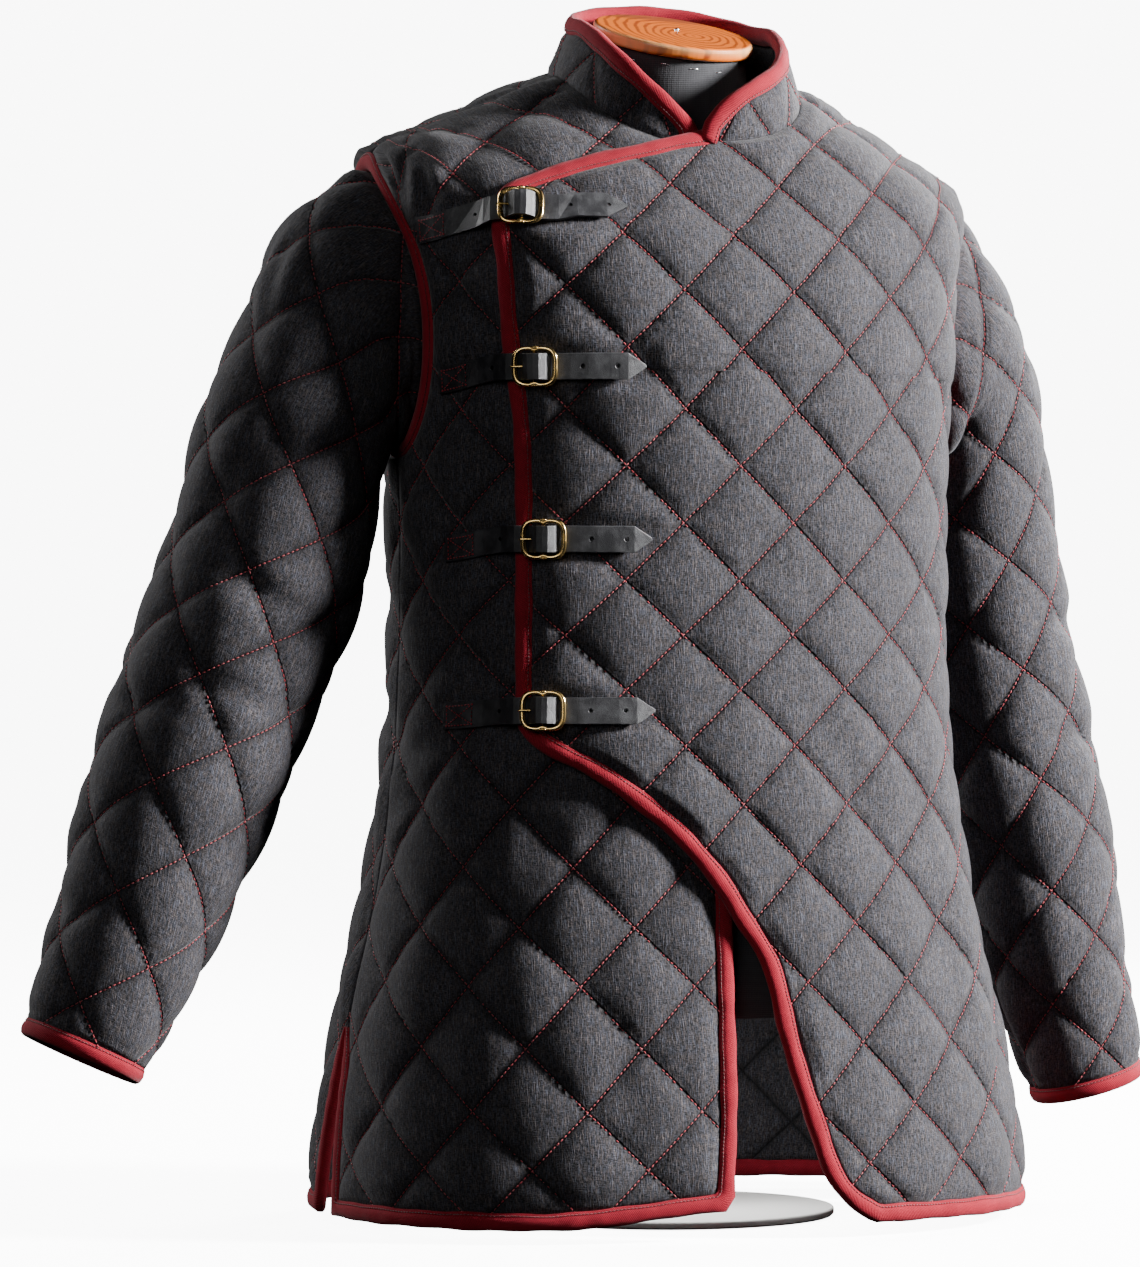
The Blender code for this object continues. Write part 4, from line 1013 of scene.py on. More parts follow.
def roll_binding(name, centre, outward, normal, widths, closed=False):
    """A binding along a path, with the path of the stitches along its inner side."""
    steps = np.linalg.norm(np.diff(centre, axis=0), axis=-1)
    run = np.concatenate([[0.0], np.cumsum(steps)])
    waver = 1.0 + 0.05 * np.sin(run * 173.0) + 0.04 * np.sin(run * 71.0 + 1.3)
    puckered = 1.0 + 0.05 * np.sin(run * 2 * math.pi / 0.0195) * np.sin(run * 41.0)
    if closed:
        waver, puckered = np.ones_like(run), np.ones_like(run)
    across = np.array([place[0] for place in BIND_SECTION])
    height = np.array([place[1] for place in BIND_SECTION])
    half = (widths / 2 * waver)[:, None, None]
    reach = across[None, :, None] * half
    rise = height[None, :, None] * BIND_HALF_HEIGHT * puckered[:, None, None]
    sections = centre[:, None] + outward[:, None] * reach + normal[:, None] * rise
    size, count = len(BIND_SECTION), len(centre)
    girth = np.concatenate([[0.0], np.cumsum([0.0017] * size)])
    rows = count + 1 if closed else count
    lengths = np.append(run, run[-1] + (run[1] if count > 1 else 0.0))[:rows]
    cloth = np.stack(np.meshgrid(lengths, girth, indexing="ij"), -1)
    obj = loft(name, sections, cloth, closed)
    place, over = STITCH_PLACE
    seam = centre + outward * (half[:, 0] * place) + normal * (BIND_HALF_HEIGHT * over)
    order = np.arange(count)
    edges = np.stack([order[:-1], order[1:]], 1)
    if closed:
        edges = np.append(edges, [[count - 1, 0]], axis=0)
    return obj, (seam, normal, edges)


def edge_binding(name, pairs, lift, widths):
    """A binding along a panel's edge, the cloth on its left; pairs hold angle and level."""
    angle, level = pairs[:, 0], pairs[:, 1]
    points = body_point(angle, level) + body_normal(angle, level) * lift(angle)[:, None]
    return bind_path(name, points, body_normal(angle, level), widths)


def bind_path(name, points, normal, widths):
    place = even_path(points, 0.0036)
    order = np.arange(len(points))
    points = np.stack([np.interp(place, order, points[:, axis]) for axis in range(3)], -1)
    normal = unit(np.stack([np.interp(place, order, normal[:, axis]) for axis in range(3)], -1))
    widths = np.interp(place, order, widths)
    step = unit(np.diff(points, axis=0))
    ahead, behind = np.append(step, step[-1:], axis=0), np.append(step[:1], step, axis=0)
    out_ahead, out_behind = unit(np.cross(ahead, normal)), unit(np.cross(behind, normal))
    outward = unit(out_ahead + out_behind)
    stretch = 1.0 / np.maximum(np.sum(outward * out_ahead, axis=-1), 0.72)
    centre = points + outward * ((SEAM_GAP + widths / 2) * stretch)[:, None]
    return roll_binding(name, centre, outward * stretch[:, None], normal, widths)


# Collar: degrees round the neck from its right end, and its heights
COLLAR_START = -15.0
COLLAR_TURN = 344.3
COLLAR_LOWEST = 0.003
COLLAR_STAND = 0.025
COLLAR_FOOT = 0.0062
COLLAR_ROOT = 0.0060
RIGHT_END_CURVE = 19.0
LEFT_END_CURVE = 11.0


def collar_rows():
    """The collar's foot, rise, outward direction and height at close turns round the neck."""
    ends = 1.0 - np.cos(np.linspace(0.0, math.pi, 130))
    turn = ends / 2 * COLLAR_TURN
    angle = COLLAR_START - turn
    angle = np.where(angle < -180.0, angle + 360.0, angle)
    lift = np.where((angle > 0.0) & (angle < 90.0), front_lift(angle), 0.0)
    level = np.full_like(angle, NECKLINE)
    base = body_point(angle, level) + body_normal(angle, level) * lift[:, None]
    radial = np.stack([np.sin(np.radians(angle)), -np.cos(np.radians(angle)), 0 * angle], -1)
    rise = unit(np.stack([-0.42 * radial[:, 0], -0.12 * radial[:, 1] - 0.18, 1 + 0 * angle], -1))
    along = unit(np.gradient(base, axis=0))
    normal = unit(np.cross(along, rise))
    normal *= np.sign(np.sum(normal * radial, axis=-1))[:, None]
    right = 1.0 - np.exp(-turn / RIGHT_END_CURVE)
    left = 1.0 - np.exp(-(COLLAR_TURN - turn) / LEFT_END_CURVE)
    height = COLLAR_LOWEST + COLLAR_STAND * np.minimum(right, left)
    return base, rise, normal, height


def cloth_collar():
    base, rise, normal, height = collar_rows()
    foot = base + rise * COLLAR_FOOT
    share = np.linspace(0.0, 1.0, 12)
    reach = (height[:, None] + COLLAR_ROOT) * share - COLLAR_ROOT
    middle = foot[:, None] + rise[:, None] * reach[..., None]
    middle = middle[::-1].transpose(1, 0, 2)
    across = np.repeat(normal[::-1][None], len(share), axis=0)
    steps = np.linalg.norm(np.diff(base[::-1], axis=0), axis=-1)
    run = np.concatenate([[0.0], np.cumsum(steps)]) - 0.30
    along = np.repeat(run[None], len(share), axis=0)
    up = (height[::-1][None] * share[:, None]) + 0.012
    first, second = along / 0.062 + up / 0.076, along / 0.062 - up / 0.076
    edge = edge_distance(middle)
    swell = puff(first, second, edge * 2.0)
    outer = middle + across * (0.0012 + 0.0024 * swell)[..., None]
    inner = middle - across * (0.0014 + 0.0010 * swell)[..., None]
    uv, lattice = np.stack([along, up], -1), np.stack([first, second], -1)
    pieces["collar"] = wall("collar_cloth", outer, inner, uv, lattice)
    ahead = unit(np.gradient(base, axis=0))
    start = base[0] - ahead[0] * 0.0020 - rise[0] * 0.0030
    end = base[-1] + ahead[-1] * 0.0030 - rise[-1] * 0.0010
    top = np.concatenate([[start], foot + rise * height[:, None], [end]])
    normal = np.concatenate([normal[:1], normal, normal[-1:]])
    binding = bind_path("collar_edge_binding", top, normal, np.full(len(top), BIND_WIDTH))
    return outer, across, lattice_lines((first, second), outer, across), binding


# Buckles, straps and the form
BUCKLE_LENGTH = 0.0315
BUCKLE_HEIGHT = 0.0284
BUCKLE_WIRE = 0.0015
BUCKLE_LIFT = 0.0197
BUCKLE_SQUARE = 0.56
WAIST_NOTCH = 0.0016
STRAP_THICK = 0.0025
PRONG_RADIUS = 0.0009
PRONG_HINGE = 0.0042
PRONG_RISE = 0.0012
FORM_CLEARANCE = 0.008
FORM_BOTTOM = 0.150
NECK_RADIUS = 0.053
NECK_LEAN = -0.010
CAP_RADIUS = 0.0575
CAP_THICK = 0.0095
CAP_CENTRE = (0.0, -0.014, 0.8385)
CAP_PITCH = 16.5
CAP_ROLL = 3.5
FORM_LEVELS = (
    FORM_BOTTOM, 0.21, 0.27, 0.33, 0.40, 0.48, 0.56, 0.63, 0.69, 0.725, 0.745, 0.762, 0.783, 0.800,
)
NECK_RINGS = ((0.806, NECK_RADIUS + 0.005), (0.820, NECK_RADIUS + 0.001))


def new_object(name, mesh):
    obj = bpy.data.objects.new(name, mesh)
    bpy.context.scene.collection.objects.link(obj)
    return obj


def cad_copy(node, name):
    """A welded copy of a CAD node's mesh, in a new object."""
    shape = bmesh.new()
    shape.from_mesh(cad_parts[node].data)
    bmesh.ops.remove_doubles(shape, verts=shape.verts[:], dist=0.00002)
    mesh = bpy.data.meshes.new(name)
    shape.to_mesh(mesh)
    shape.free()
    return new_object(name, mesh)


def settle(obj, smooth_angle=40):
    """Apply an object's modifiers to its mesh and shade it."""
    evaluated = obj.evaluated_get(bpy.context.evaluated_depsgraph_get())
    mesh = bpy.data.meshes.new_from_object(evaluated)
    obj.modifiers.clear()
    obj.data = mesh
    mesh.shade_smooth()
    mesh.set_sharp_from_angle(angle=math.radians(smooth_angle))
    return obj


def dress(obj, material, slot, *nodes):
    """Give a finished piece its material and body, and hide the nodes it stands for; the slot is not used.
    """
    obj.data.materials.clear()
    obj.data.materials.append(material)
    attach(obj, "root")
    if nodes:
        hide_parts(*nodes)
    return obj


def level_at_height(angle, height):
    """The level whose ring passes a height at an angle."""
    levels = np.linspace(0.2, NECKLINE, 900)
    heights = body_point(np.full_like(levels, angle), levels)[:, 2]
    return float(np.interp(height, heights, levels))


def line_frame(strap, angle):
    """A point of the body on a strap's line, with its along, up and outward directions."""
    bend = strap.buckle_angle - 8.0
    share = float(smooth((bend - angle) / (bend - strap.sewn_angle)))
    height = strap.z + (strap.sewn_z - strap.z) * share
    places = [angle - 0.25, angle, angle + 0.25]
    levels = [level_at_height(place, height) for place in places]
    points = body_point(places, levels)
    normal = body_normal(np.array(angle), np.array(levels[1]))
    along = unit(points[2] - points[0])
    return points[1], along, unit(np.cross(normal, along)), normal


def buckle_frame(strap):
    point, along, up, normal = line_frame(strap, strap.buckle_angle)
    return point + normal * BUCKLE_LIFT, along, up, normal


def tube(path, radii, sides, first, second):
    """Rings of points round a path, across two directions of each of its points."""
    turn = np.linspace(0.0, 2 * math.pi, sides, endpoint=False)
    spoke = first[:, None] * np.cos(turn)[None, :, None] + second[:, None] * np.sin(turn)[None, :, None]
    return path[:, None] + spoke * np.asarray(radii)[:, None, None]


def plain_loft(name, sections, closed=False):
    rows, size = sections.shape[0] + closed, sections.shape[1] + 1
    places = np.stack(np.meshgrid(np.arange(rows), np.arange(size), indexing="ij"), -1) * 0.001
    return loft(name, sections, places, closed)


def make_buckle(number, strap):
    """A double-looped buckle: a rim pinched at its bar, with a bead at each side of the pinch."""
    centre, along, up, normal = buckle_frame(strap)
    turn = np.linspace(0.0, 2 * math.pi, 96, endpoint=False)
    cosine, sine = np.cos(turn), np.sin(turn)
    u = (BUCKLE_LENGTH / 2 - BUCKLE_WIRE) * np.sign(cosine) * np.abs(cosine) ** BUCKLE_SQUARE
    v = (BUCKLE_HEIGHT / 2 - BUCKLE_WIRE) * np.sign(sine) * np.abs(sine) ** BUCKLE_SQUARE
    v -= np.sign(sine) * WAIST_NOTCH * np.exp(-((u / 0.0020) ** 2))
    order = even_path(np.stack([np.append(u, u[0]), np.append(v, v[0])], -1), 0.00095)[:-1]
    steps = np.arange(len(u) + 1)
    u, v = (np.interp(order, steps, np.append(values, values[0])) for values in (u, v))
    path = centre + along * u[:, None] + up * v[:, None]
    outward = unit(np.cross(np.roll(path, -1, axis=0) - np.roll(path, 1, axis=0), normal))
    wide = 1.0 + 0.30 * smooth((np.abs(u) - 0.006) / 0.007)
    turns = np.linspace(0.0, 2 * math.pi, 12, endpoint=False)
    spoke = (outward[:, None] * (np.cos(turns)[None, :, None] * wide[:, None, None])
             + normal * (np.sin(turns)[None, :, None] * 0.92))
    made = [plain_loft("rim", path[:, None] + spoke * BUCKLE_WIRE, True)]
    reach = BUCKLE_HEIGHT / 2 - WAIST_NOTCH
    place = np.array([-reach, reach])
    ones = np.ones((2, 1))
    made.append(plain_loft("bar", tube(centre + up * place[:, None], [BUCKLE_WIRE * 0.9] * 2, 12,
                                       along * ones, normal * ones)))
    for side in (-1, 1):
        for across, radius in ((-0.0014, 0.00115), (0.0, 0.00135), (0.0014, 0.00115)):
            bpy.ops.mesh.primitive_uv_sphere_add(segments=12, ring_count=8, radius=radius)
            bead = bpy.context.active_object
            spot = centre + up * (side * (BUCKLE_HEIGHT / 2 - WAIST_NOTCH + 0.0004)) + along * across
            bead.data.transform(matrix_at(spot + normal * 0.0008))
            made.append(bead)
    start = centre - along * PRONG_HINGE + normal * PRONG_RISE
    over = BUCKLE_WIRE + PRONG_RADIUS + SEAM_GAP
    end = centre - along * (BUCKLE_LENGTH / 2 + PRONG_RISE) + normal * over
    share = np.array([0.0, 0.35, 0.70, 0.90, 1.0])[:, None]
    path = start * (1 - share) + end * share
    radii = np.array([1.0, 1.0, 0.9, 0.72, 0.35]) * PRONG_RADIUS * 1.15
    side = unit(np.cross(end - start, up))
    made.append(plain_loft("prong", tube(path, radii, 10, up * np.ones((5, 1)), side * np.ones((5, 1)))))
    return join("buckle_%d_brass" % number, made)


def matrix_at(place):
    return Matrix.Translation(Vector([float(part) for part in place]))


def join(name, objects):
    """Join loose objects into one mesh."""
    shape = bmesh.new()
    for obj in objects:
        shape.from_mesh(obj.data)
        bpy.data.objects.remove(obj, do_unlink=True)
    mesh = bpy.data.meshes.new(name)
    shape.to_mesh(mesh)
    shape.free()
    mesh.shade_smooth()
    return new_object(name, mesh)


def round_edges(obj, width, segments=2):
    bevel = obj.modifiers.new("rounded", "BEVEL")
    bevel.width = width
    bevel.segments = segments
    bevel.limit_method = "ANGLE"
    bevel.angle_limit = math.radians(50)
    even = obj.modifiers.new("even_shading", "WEIGHTED_NORMAL")
    even.keep_sharp = True
    evaluated = obj.evaluated_get(bpy.context.evaluated_depsgraph_get())
    mesh = bpy.data.meshes.new_from_object(evaluated)
    obj.modifiers.clear()
    obj.data = mesh
    return obj


def box_stitches(strap):
    """The crossed rectangle of thread that sews a strap's end down, as a path."""
    lift = QUILT / 2 + SEAM_GAP + STRAP_THICK + 0.0006
    per_metre = 1.0 / (np.linalg.norm(line_frame(strap, strap.sewn_angle + 5.0)[0]
                                      - line_frame(strap, strap.sewn_angle + 4.0)[0]))
    corners = ((0.0035, -0.0068), (0.0245, -0.0068), (0.0245, 0.0068), (0.0035, 0.0068))
    order = (0, 1, 2, 3, 0, 2, 1, 3)
    places, ups, edges = [], [], []
    for first, second in zip(order, order[1:]):
        for share in np.linspace(0.0, 1.0, 8):
            far = corners[first][0] * (1 - share) + corners[second][0] * share
            high = corners[first][1] * (1 - share) + corners[second][1] * share
            point, _, up, normal = line_frame(strap, strap.sewn_angle + far * per_metre)
            places.append(point + normal * lift + up * high)
            ups.append(normal)
            if share > 0.0:
                edges.append((len(places) - 2, len(places) - 1))
    return np.array(places), np.array(ups), np.array(edges)


def make_form():
    """The torso follows the garment from inside and narrows to its neck."""
    turns = np.arange(0.0, 360.0, 4.0)
    table = []
    for level in FORM_LEVELS:
        ring = body_point(turns, np.full_like(turns, level))
        ring = ring - body_normal(turns, np.full_like(turns, level)) * FORM_CLEARANCE
        if level == FORM_BOTTOM:
            ring[:, 2] = FORM_BOTTOM
        table.append(ring)
    neck_top = CAP_CENTRE[2] - CAP_THICK / 2 - SEAM_GAP
    pitch, roll, angle = math.radians(CAP_PITCH), math.radians(CAP_ROLL), np.radians(turns)
    for height, radius in NECK_RINGS + ((neck_top, NECK_RADIUS),):
        share = smooth((height - 0.796) / 0.026)
        x, y = radius * np.sin(angle), -radius * np.cos(angle)
        tilt = y * math.tan(pitch) - x * math.tan(roll)
        base = table[len(FORM_LEVELS) - 1][:, 2] - FORM_LEVELS[-1]
        table.append(np.stack([x, y + NECK_LEAN, height + tilt * share + base * (1 - share)], -1))
    table = np.array(table)
    keys = np.arange(len(table), dtype=float)
    rows = np.concatenate([keys[:, None], table.reshape(len(table), -1)], axis=1)
    fine = np.linspace(0.0, keys[-1], 76)
    sections = read_rows(rows, fine).reshape(len(fine), len(turns), 3)
    return plain_loft("torso_jersey", sections)


def make_cap():
    """The neck's pine cap with a rounded rim, and the nail in its top."""
    bpy.ops.mesh.primitive_cylinder_add(vertices=96, radius=CAP_RADIUS, depth=CAP_THICK)
    cap = bpy.context.active_object
    round_edges(cap, 0.0030, 4)
    bpy.ops.mesh.primitive_uv_sphere_add(segments=16, ring_count=8, radius=0.0017)
    nail = bpy.context.active_object
    for obj, place in ((cap, (0.0, 0.0, 0.0)), (nail, (0.004, 0.006, CAP_THICK / 2))):
        turn = Euler((math.radians(CAP_PITCH), math.radians(CAP_ROLL), 0.0)).to_matrix().to_4x4()
        obj.data.transform(matrix_at(CAP_CENTRE) @ turn @ matrix_at(place))
    cap.name, nail.name = "cap_pine", "cap_nail"
    return cap, nail


def make_staples():
    """Small wire staples that hold the jersey under the cap."""
    made = []
    pitch, roll = math.radians(CAP_PITCH), math.radians(CAP_ROLL)
    for degrees in (-52, -24, -2, 20, 47, 96, 150, 205, 262):
        angle = math.radians(degrees)
        out = np.array([math.sin(angle), -math.cos(angle), 0.0])
        side = np.array([math.cos(angle), math.sin(angle), 0.15 * math.sin(3 * angle)])
        reach = out * (NECK_RADIUS + 0.0005)
        drop = CAP_THICK / 2 + 0.0055 + 0.0012 * math.sin(5 * angle)
        height = reach[1] * math.tan(pitch) - reach[0] * math.tan(roll) - drop
        spot = np.array([0.0, NECK_LEAN, CAP_CENTRE[2]]) + reach + np.array([0.0, 0.0, height])
        path = np.array([spot - side * 0.0034 - out * 0.001, spot - side * 0.0031, spot + side * 0.0031,
                         spot + side * 0.0034 - out * 0.001])
        first = np.array([out] * 4)
        second = unit(np.cross(side, out)) * np.ones((4, 1))
        made.append(plain_loft("staple", tube(path, [0.00032] * 4, 6, first, second)))
    return join("neck_staples", made)


def turned(name, profile, sides=96):
    """A turned piece about the upright axis from radii and heights, closed at its ends."""
    angle = np.linspace(0.0, 2 * math.pi, sides, endpoint=False)
    radius, height = np.array(profile, float).T
    sections = np.stack([radius[:, None] * np.cos(angle), radius[:, None] * np.sin(angle),
                         np.repeat(height[:, None], sides, axis=1)], -1)
    obj = plain_loft(name, sections)
    obj.data.set_sharp_from_angle(angle=math.radians(35))
    return obj


def stitch_tree(material):
    """Stitches along paths: each path is cut into even steps, with a thread lens on each."""
    tree = bpy.data.node_groups.new("stitches_along_seam", "GeometryNodeTree")
    sockets = {}
    inputs = (("Seam", "Geometry"), ("Pitch", "Float"), ("Length", "Float"), ("Thickness", "Float"))
    for name, kind in inputs:
        sockets[name] = tree.interface.new_socket(name, in_out="INPUT", socket_type="NodeSocket" + kind)
    tree.interface.new_socket("Stitches", in_out="OUTPUT", socket_type="NodeSocketGeometry")
    made = {}

    def add(key, kind, **settings):
        made[key] = tree.nodes.new(kind)
        for setting, value in settings.items():
            setattr(made[key], setting, value)
        return made[key]

    def link(source, output, target, place):
        tree.links.new(made[source].outputs[output], made[target].inputs[place])

    add("in", "NodeGroupInput")
    add("out", "NodeGroupOutput")
    add("curve", "GeometryNodeMeshToCurve")
    add("steps", "GeometryNodeResampleCurve", mode="LENGTH")
    add("tangent", "GeometryNodeInputTangent")
    up = add("up", "GeometryNodeInputNamedAttribute", data_type="FLOAT_VECTOR")
    up.inputs["Name"].default_value = "up"
    add("aim", "FunctionNodeAlignRotationToVector", axis="X")
    add("stand", "FunctionNodeAlignRotationToVector", axis="Z", pivot_axis="X")
    lens = add("lens", "GeometryNodeMeshUVSphere")
    lens.inputs["Segments"].default_value = 4
    lens.inputs["Rings"].default_value = 3
    lens.inputs["Radius"].default_value = 0.5
    turn = add("turn", "GeometryNodeTransform")
    turn.inputs["Rotation"].default_value = (0.0, math.pi / 2, 0.0)
    add("size", "ShaderNodeCombineXYZ")
    add("place", "GeometryNodeInstanceOnPoints")
    add("real", "GeometryNodeRealizeInstances")
    add("soft", "GeometryNodeSetShadeSmooth")
    add("paint", "GeometryNodeSetMaterial").inputs["Material"].default_value = material
    link("in", "Seam", "curve", "Mesh")
    link("curve", "Curve", "steps", "Curve")
    link("in", "Pitch", "steps", "Length")
    link("tangent", 0, "aim", "Vector")
    link("aim", 0, "stand", "Rotation")
    link("up", 0, "stand", "Vector")
    link("lens", "Mesh", "turn", "Geometry")
    link("in", "Length", "size", "X")
    link("in", "Thickness", "size", "Y")
    link("in", "Thickness", "size", "Z")
    link("steps", "Curve", "place", "Points")
    link("turn", "Geometry", "place", "Instance")
    link("stand", 0, "place", "Rotation")
    link("size", 0, "place", "Scale")
    link("place", 0, "real", 0)
    link("real", 0, "soft", 0)
    link("soft", 0, "paint", 0)
    link("paint", 0, "out", 0)
    return tree


def sew(name, tree, seams, pitch, length, thickness, lift):
    """Stitch paths, given as points, outward directions and edges, into one mesh."""
    points = np.concatenate([seam[0] + seam[1] * lift for seam in seams])
    ups = np.concatenate([seam[1] for seam in seams])
    offsets = np.cumsum([0] + [len(seam[0]) for seam in seams[:-1]])
    edges = np.concatenate([seam[2] + offset for seam, offset in zip(seams, offsets)])
    mesh = bpy.data.meshes.new(name)
    mesh.from_pydata([tuple(point) for point in points], edges.tolist(), [])
    up = mesh.attributes.new("up", "FLOAT_VECTOR", "POINT")
    up.data.foreach_set("vector", ups.astype(np.float32).ravel())
    obj = new_object(name, mesh)
    modifier = obj.modifiers.new("stitches", "NODES")
    modifier.node_group = tree
    sizes = {"Pitch": pitch, "Length": length, "Thickness": thickness}
    for item in tree.interface.items_tree:
        if item.in_out == "INPUT" and item.name in sizes:
            modifier[item.identifier] = sizes[item.name]
    evaluated = obj.evaluated_get(bpy.context.evaluated_depsgraph_get())
    mesh = bpy.data.meshes.new_from_object(evaluated)
    obj.modifiers.clear()
    obj.data = mesh
    return obj


# Flat size of each piece of cloth as cut, in metres and square metres, and what is sewn to it
Cut = namedtuple("Cut", "width length area trimmings")
CUTS = {
    "back": Cut(0.666, 0.880, 0.450, ("back_binding",)),
    "left_front": Cut(0.497, 0.834, 0.290, ("left_front_binding",)),
    "right_front": Cut(0.321, 0.834, 0.208, ("right_front_binding",)),
    "sleeve_right": Cut(0.469, 0.655, 0.225, ("armhole_right", "cuff_right")),
    "sleeve_left": Cut(0.451, 0.661, 0.216, ("armhole_left", "cuff_left")),
    "collar": Cut(0.034, 0.545, 0.0175, ("collar_binding",)),
}

bl_info = {
    "name": "Quilted Gambeson",
    "version": (1, 0, 0),
    "blender": (4, 5, 0),
    "location": "3D View > Sidebar > Gambeson",
    "description": "Builds the looks of a quilted gambeson on a limbless dress form",
    "category": "Object",
}


class ClothSettings(bpy.types.PropertyGroup):
    """Cloth and thread of the garment."""

    dark: bpy.props.FloatVectorProperty(
        name="Dark threads", description="Colour of the linen's black threads", subtype="COLOR",
        default=(0.0022, 0.0022, 0.0028), min=0.0, max=1.0)
    pale: bpy.props.FloatVectorProperty(
        name="Grey slubs", description="Colour of the linen's grey slubs", subtype="COLOR",
        default=(0.128, 0.122, 0.134), min=0.0, max=1.0)
    binding: bpy.props.FloatVectorProperty(
        name="Binding", description="Colour of the wool bindings", subtype="COLOR",
        default=(0.270, 0.0060, 0.0180), min=0.0, max=1.0)
    thread: bpy.props.FloatVectorProperty(
        name="Thread", description="Colour of the quilting thread", subtype="COLOR",
        default=(0.400, 0.012, 0.026), min=0.0, max=1.0)
    pitch: bpy.props.FloatProperty(
        name="Stitch pitch", description="Length from one stitch to the next", subtype="DISTANCE",
        unit="LENGTH", default=0.0036, min=0.001, max=0.02)
    stitch: bpy.props.FloatProperty(
        name="Stitch length", description="Length of thread that shows in one stitch", subtype="DISTANCE",
        unit="LENGTH", default=0.0028, min=0.0005, max=0.02)
    thickness: bpy.props.FloatProperty(
        name="Thread thickness", description="Thickness of the thread", subtype="DISTANCE",
        unit="LENGTH", default=0.00090, min=0.0001, max=0.005)


class StageSettings(bpy.types.PropertyGroup):
    """Where the camera stands and how bright the lights are."""

    distance: bpy.props.FloatProperty(
        name="Distance", description="Distance of the camera from the upright axis", subtype="DISTANCE",
        unit="LENGTH", default=4.6, min=1.0, max=20.0)
    azimuth: bpy.props.FloatProperty(
        name="Azimuth", description="Turn of the camera round the object", subtype="ANGLE",
        unit="ROTATION", default=math.radians(-20.0))
    height: bpy.props.FloatProperty(
        name="Height", description="Height of the camera", subtype="DISTANCE", unit="LENGTH",
        default=0.449, min=0.0, max=5.0)
    key: bpy.props.FloatProperty(
        name="Key light", description="Power of the key light", subtype="POWER", unit="POWER",
        default=880.0, min=0.0)
    surround: bpy.props.FloatProperty(
        name="Surround", description="Brightness of the studio behind the form", default=9.0, min=0.0)


seams = {}
materials = {}


def settings():
    return bpy.context.scene.gambeson_cloth


class GAMBESON_OT_panels(bpy.types.Operator):
    """Quilted back and fronts, with their bindings"""

    bl_idname = "gambeson.panels"
    bl_label = "Fronts and Back"

    def execute(self, context):
        cloth = settings()
        materials["linen"] = linen_material("black_linen", tuple(cloth.dark), tuple(cloth.pale))
        materials["binding"] = binding_material(tuple(cloth.binding))
        left_levels = even_levels(lambda level: read_edge(LEFT_EDGE, level))
        plain = even_levels(lambda level: np.zeros_like(level))
        left = panel_places(left_levels, lambda level: read_edge(LEFT_EDGE, level),
                            lambda level: 90.0 - panel_side(level, ARMHOLE_FRONT), 96)
        right = panel_places(plain, lambda level: panel_side(level, ARMHOLE_FRONT) - 90.0,
                             lambda level: read_edge(RIGHT_EDGE, level), 66)
        right = right[0], right_hem(right[0], right[1])
        back = panel_places(plain, lambda level: 90.0 + panel_side(level, ARMHOLE_BACK),
                            lambda level: 270.0 - panel_side(level, ARMHOLE_BACK), 126)
        for name, places, lift in (("left_front", left, front_lift), ("right_front", right, no_lift),
                                   ("back", back, no_lift)):
            seams[name] = [cloth_panel(name, *places, lift)[2]]
            dress(pieces[name], materials["linen"], "quilted_linen", name)
        grids = {"left": left, "right": right, "back": back}
        places = {name: np.stack(grid, -1) for name, grid in grids.items()}
        slit = {name: np.flatnonzero(grid[:, 0, 1] < SLIT_TOP - 0.004)[1:] for name, grid in places.items()}
        left, right, back = places["left"], places["right"], places["back"]
        free = np.concatenate([left[::-1, 0], left[0, 1:]])
        slit_side = left[slit["left"], -1]
        runs = {
            "left_front": (np.concatenate([free, slit_side]), len(free), None, front_lift),
            "right_front": (np.concatenate([right[slit["right"][::-1], 0], right[0], right[1:, -1]]),
                            None, len(slit["right"]), no_lift),
            "back": (np.concatenate([back[slit["back"][::-1], 0], back[0], back[slit["back"], -1]]),
                     len(slit["back"]) + len(back[0]), len(slit["back"]), no_lift),
        }
        for name, (pairs, last, first, lift) in runs.items():
            index = np.arange(len(pairs))
            tapered = (index < (first or 0)) | (index >= (last or len(pairs)))
            widths = np.where(tapered, slit_binding(pairs[:, 1]), BIND_WIDTH)
            binding, seam = edge_binding(name + "_edge_binding", pairs, lift, widths)
            seams.setdefault("bindings", []).append(seam)
            dress(binding, materials["binding"], "red_binding", name + "_binding")
            pieces[name + "_binding"] = binding
        return {"FINISHED"}


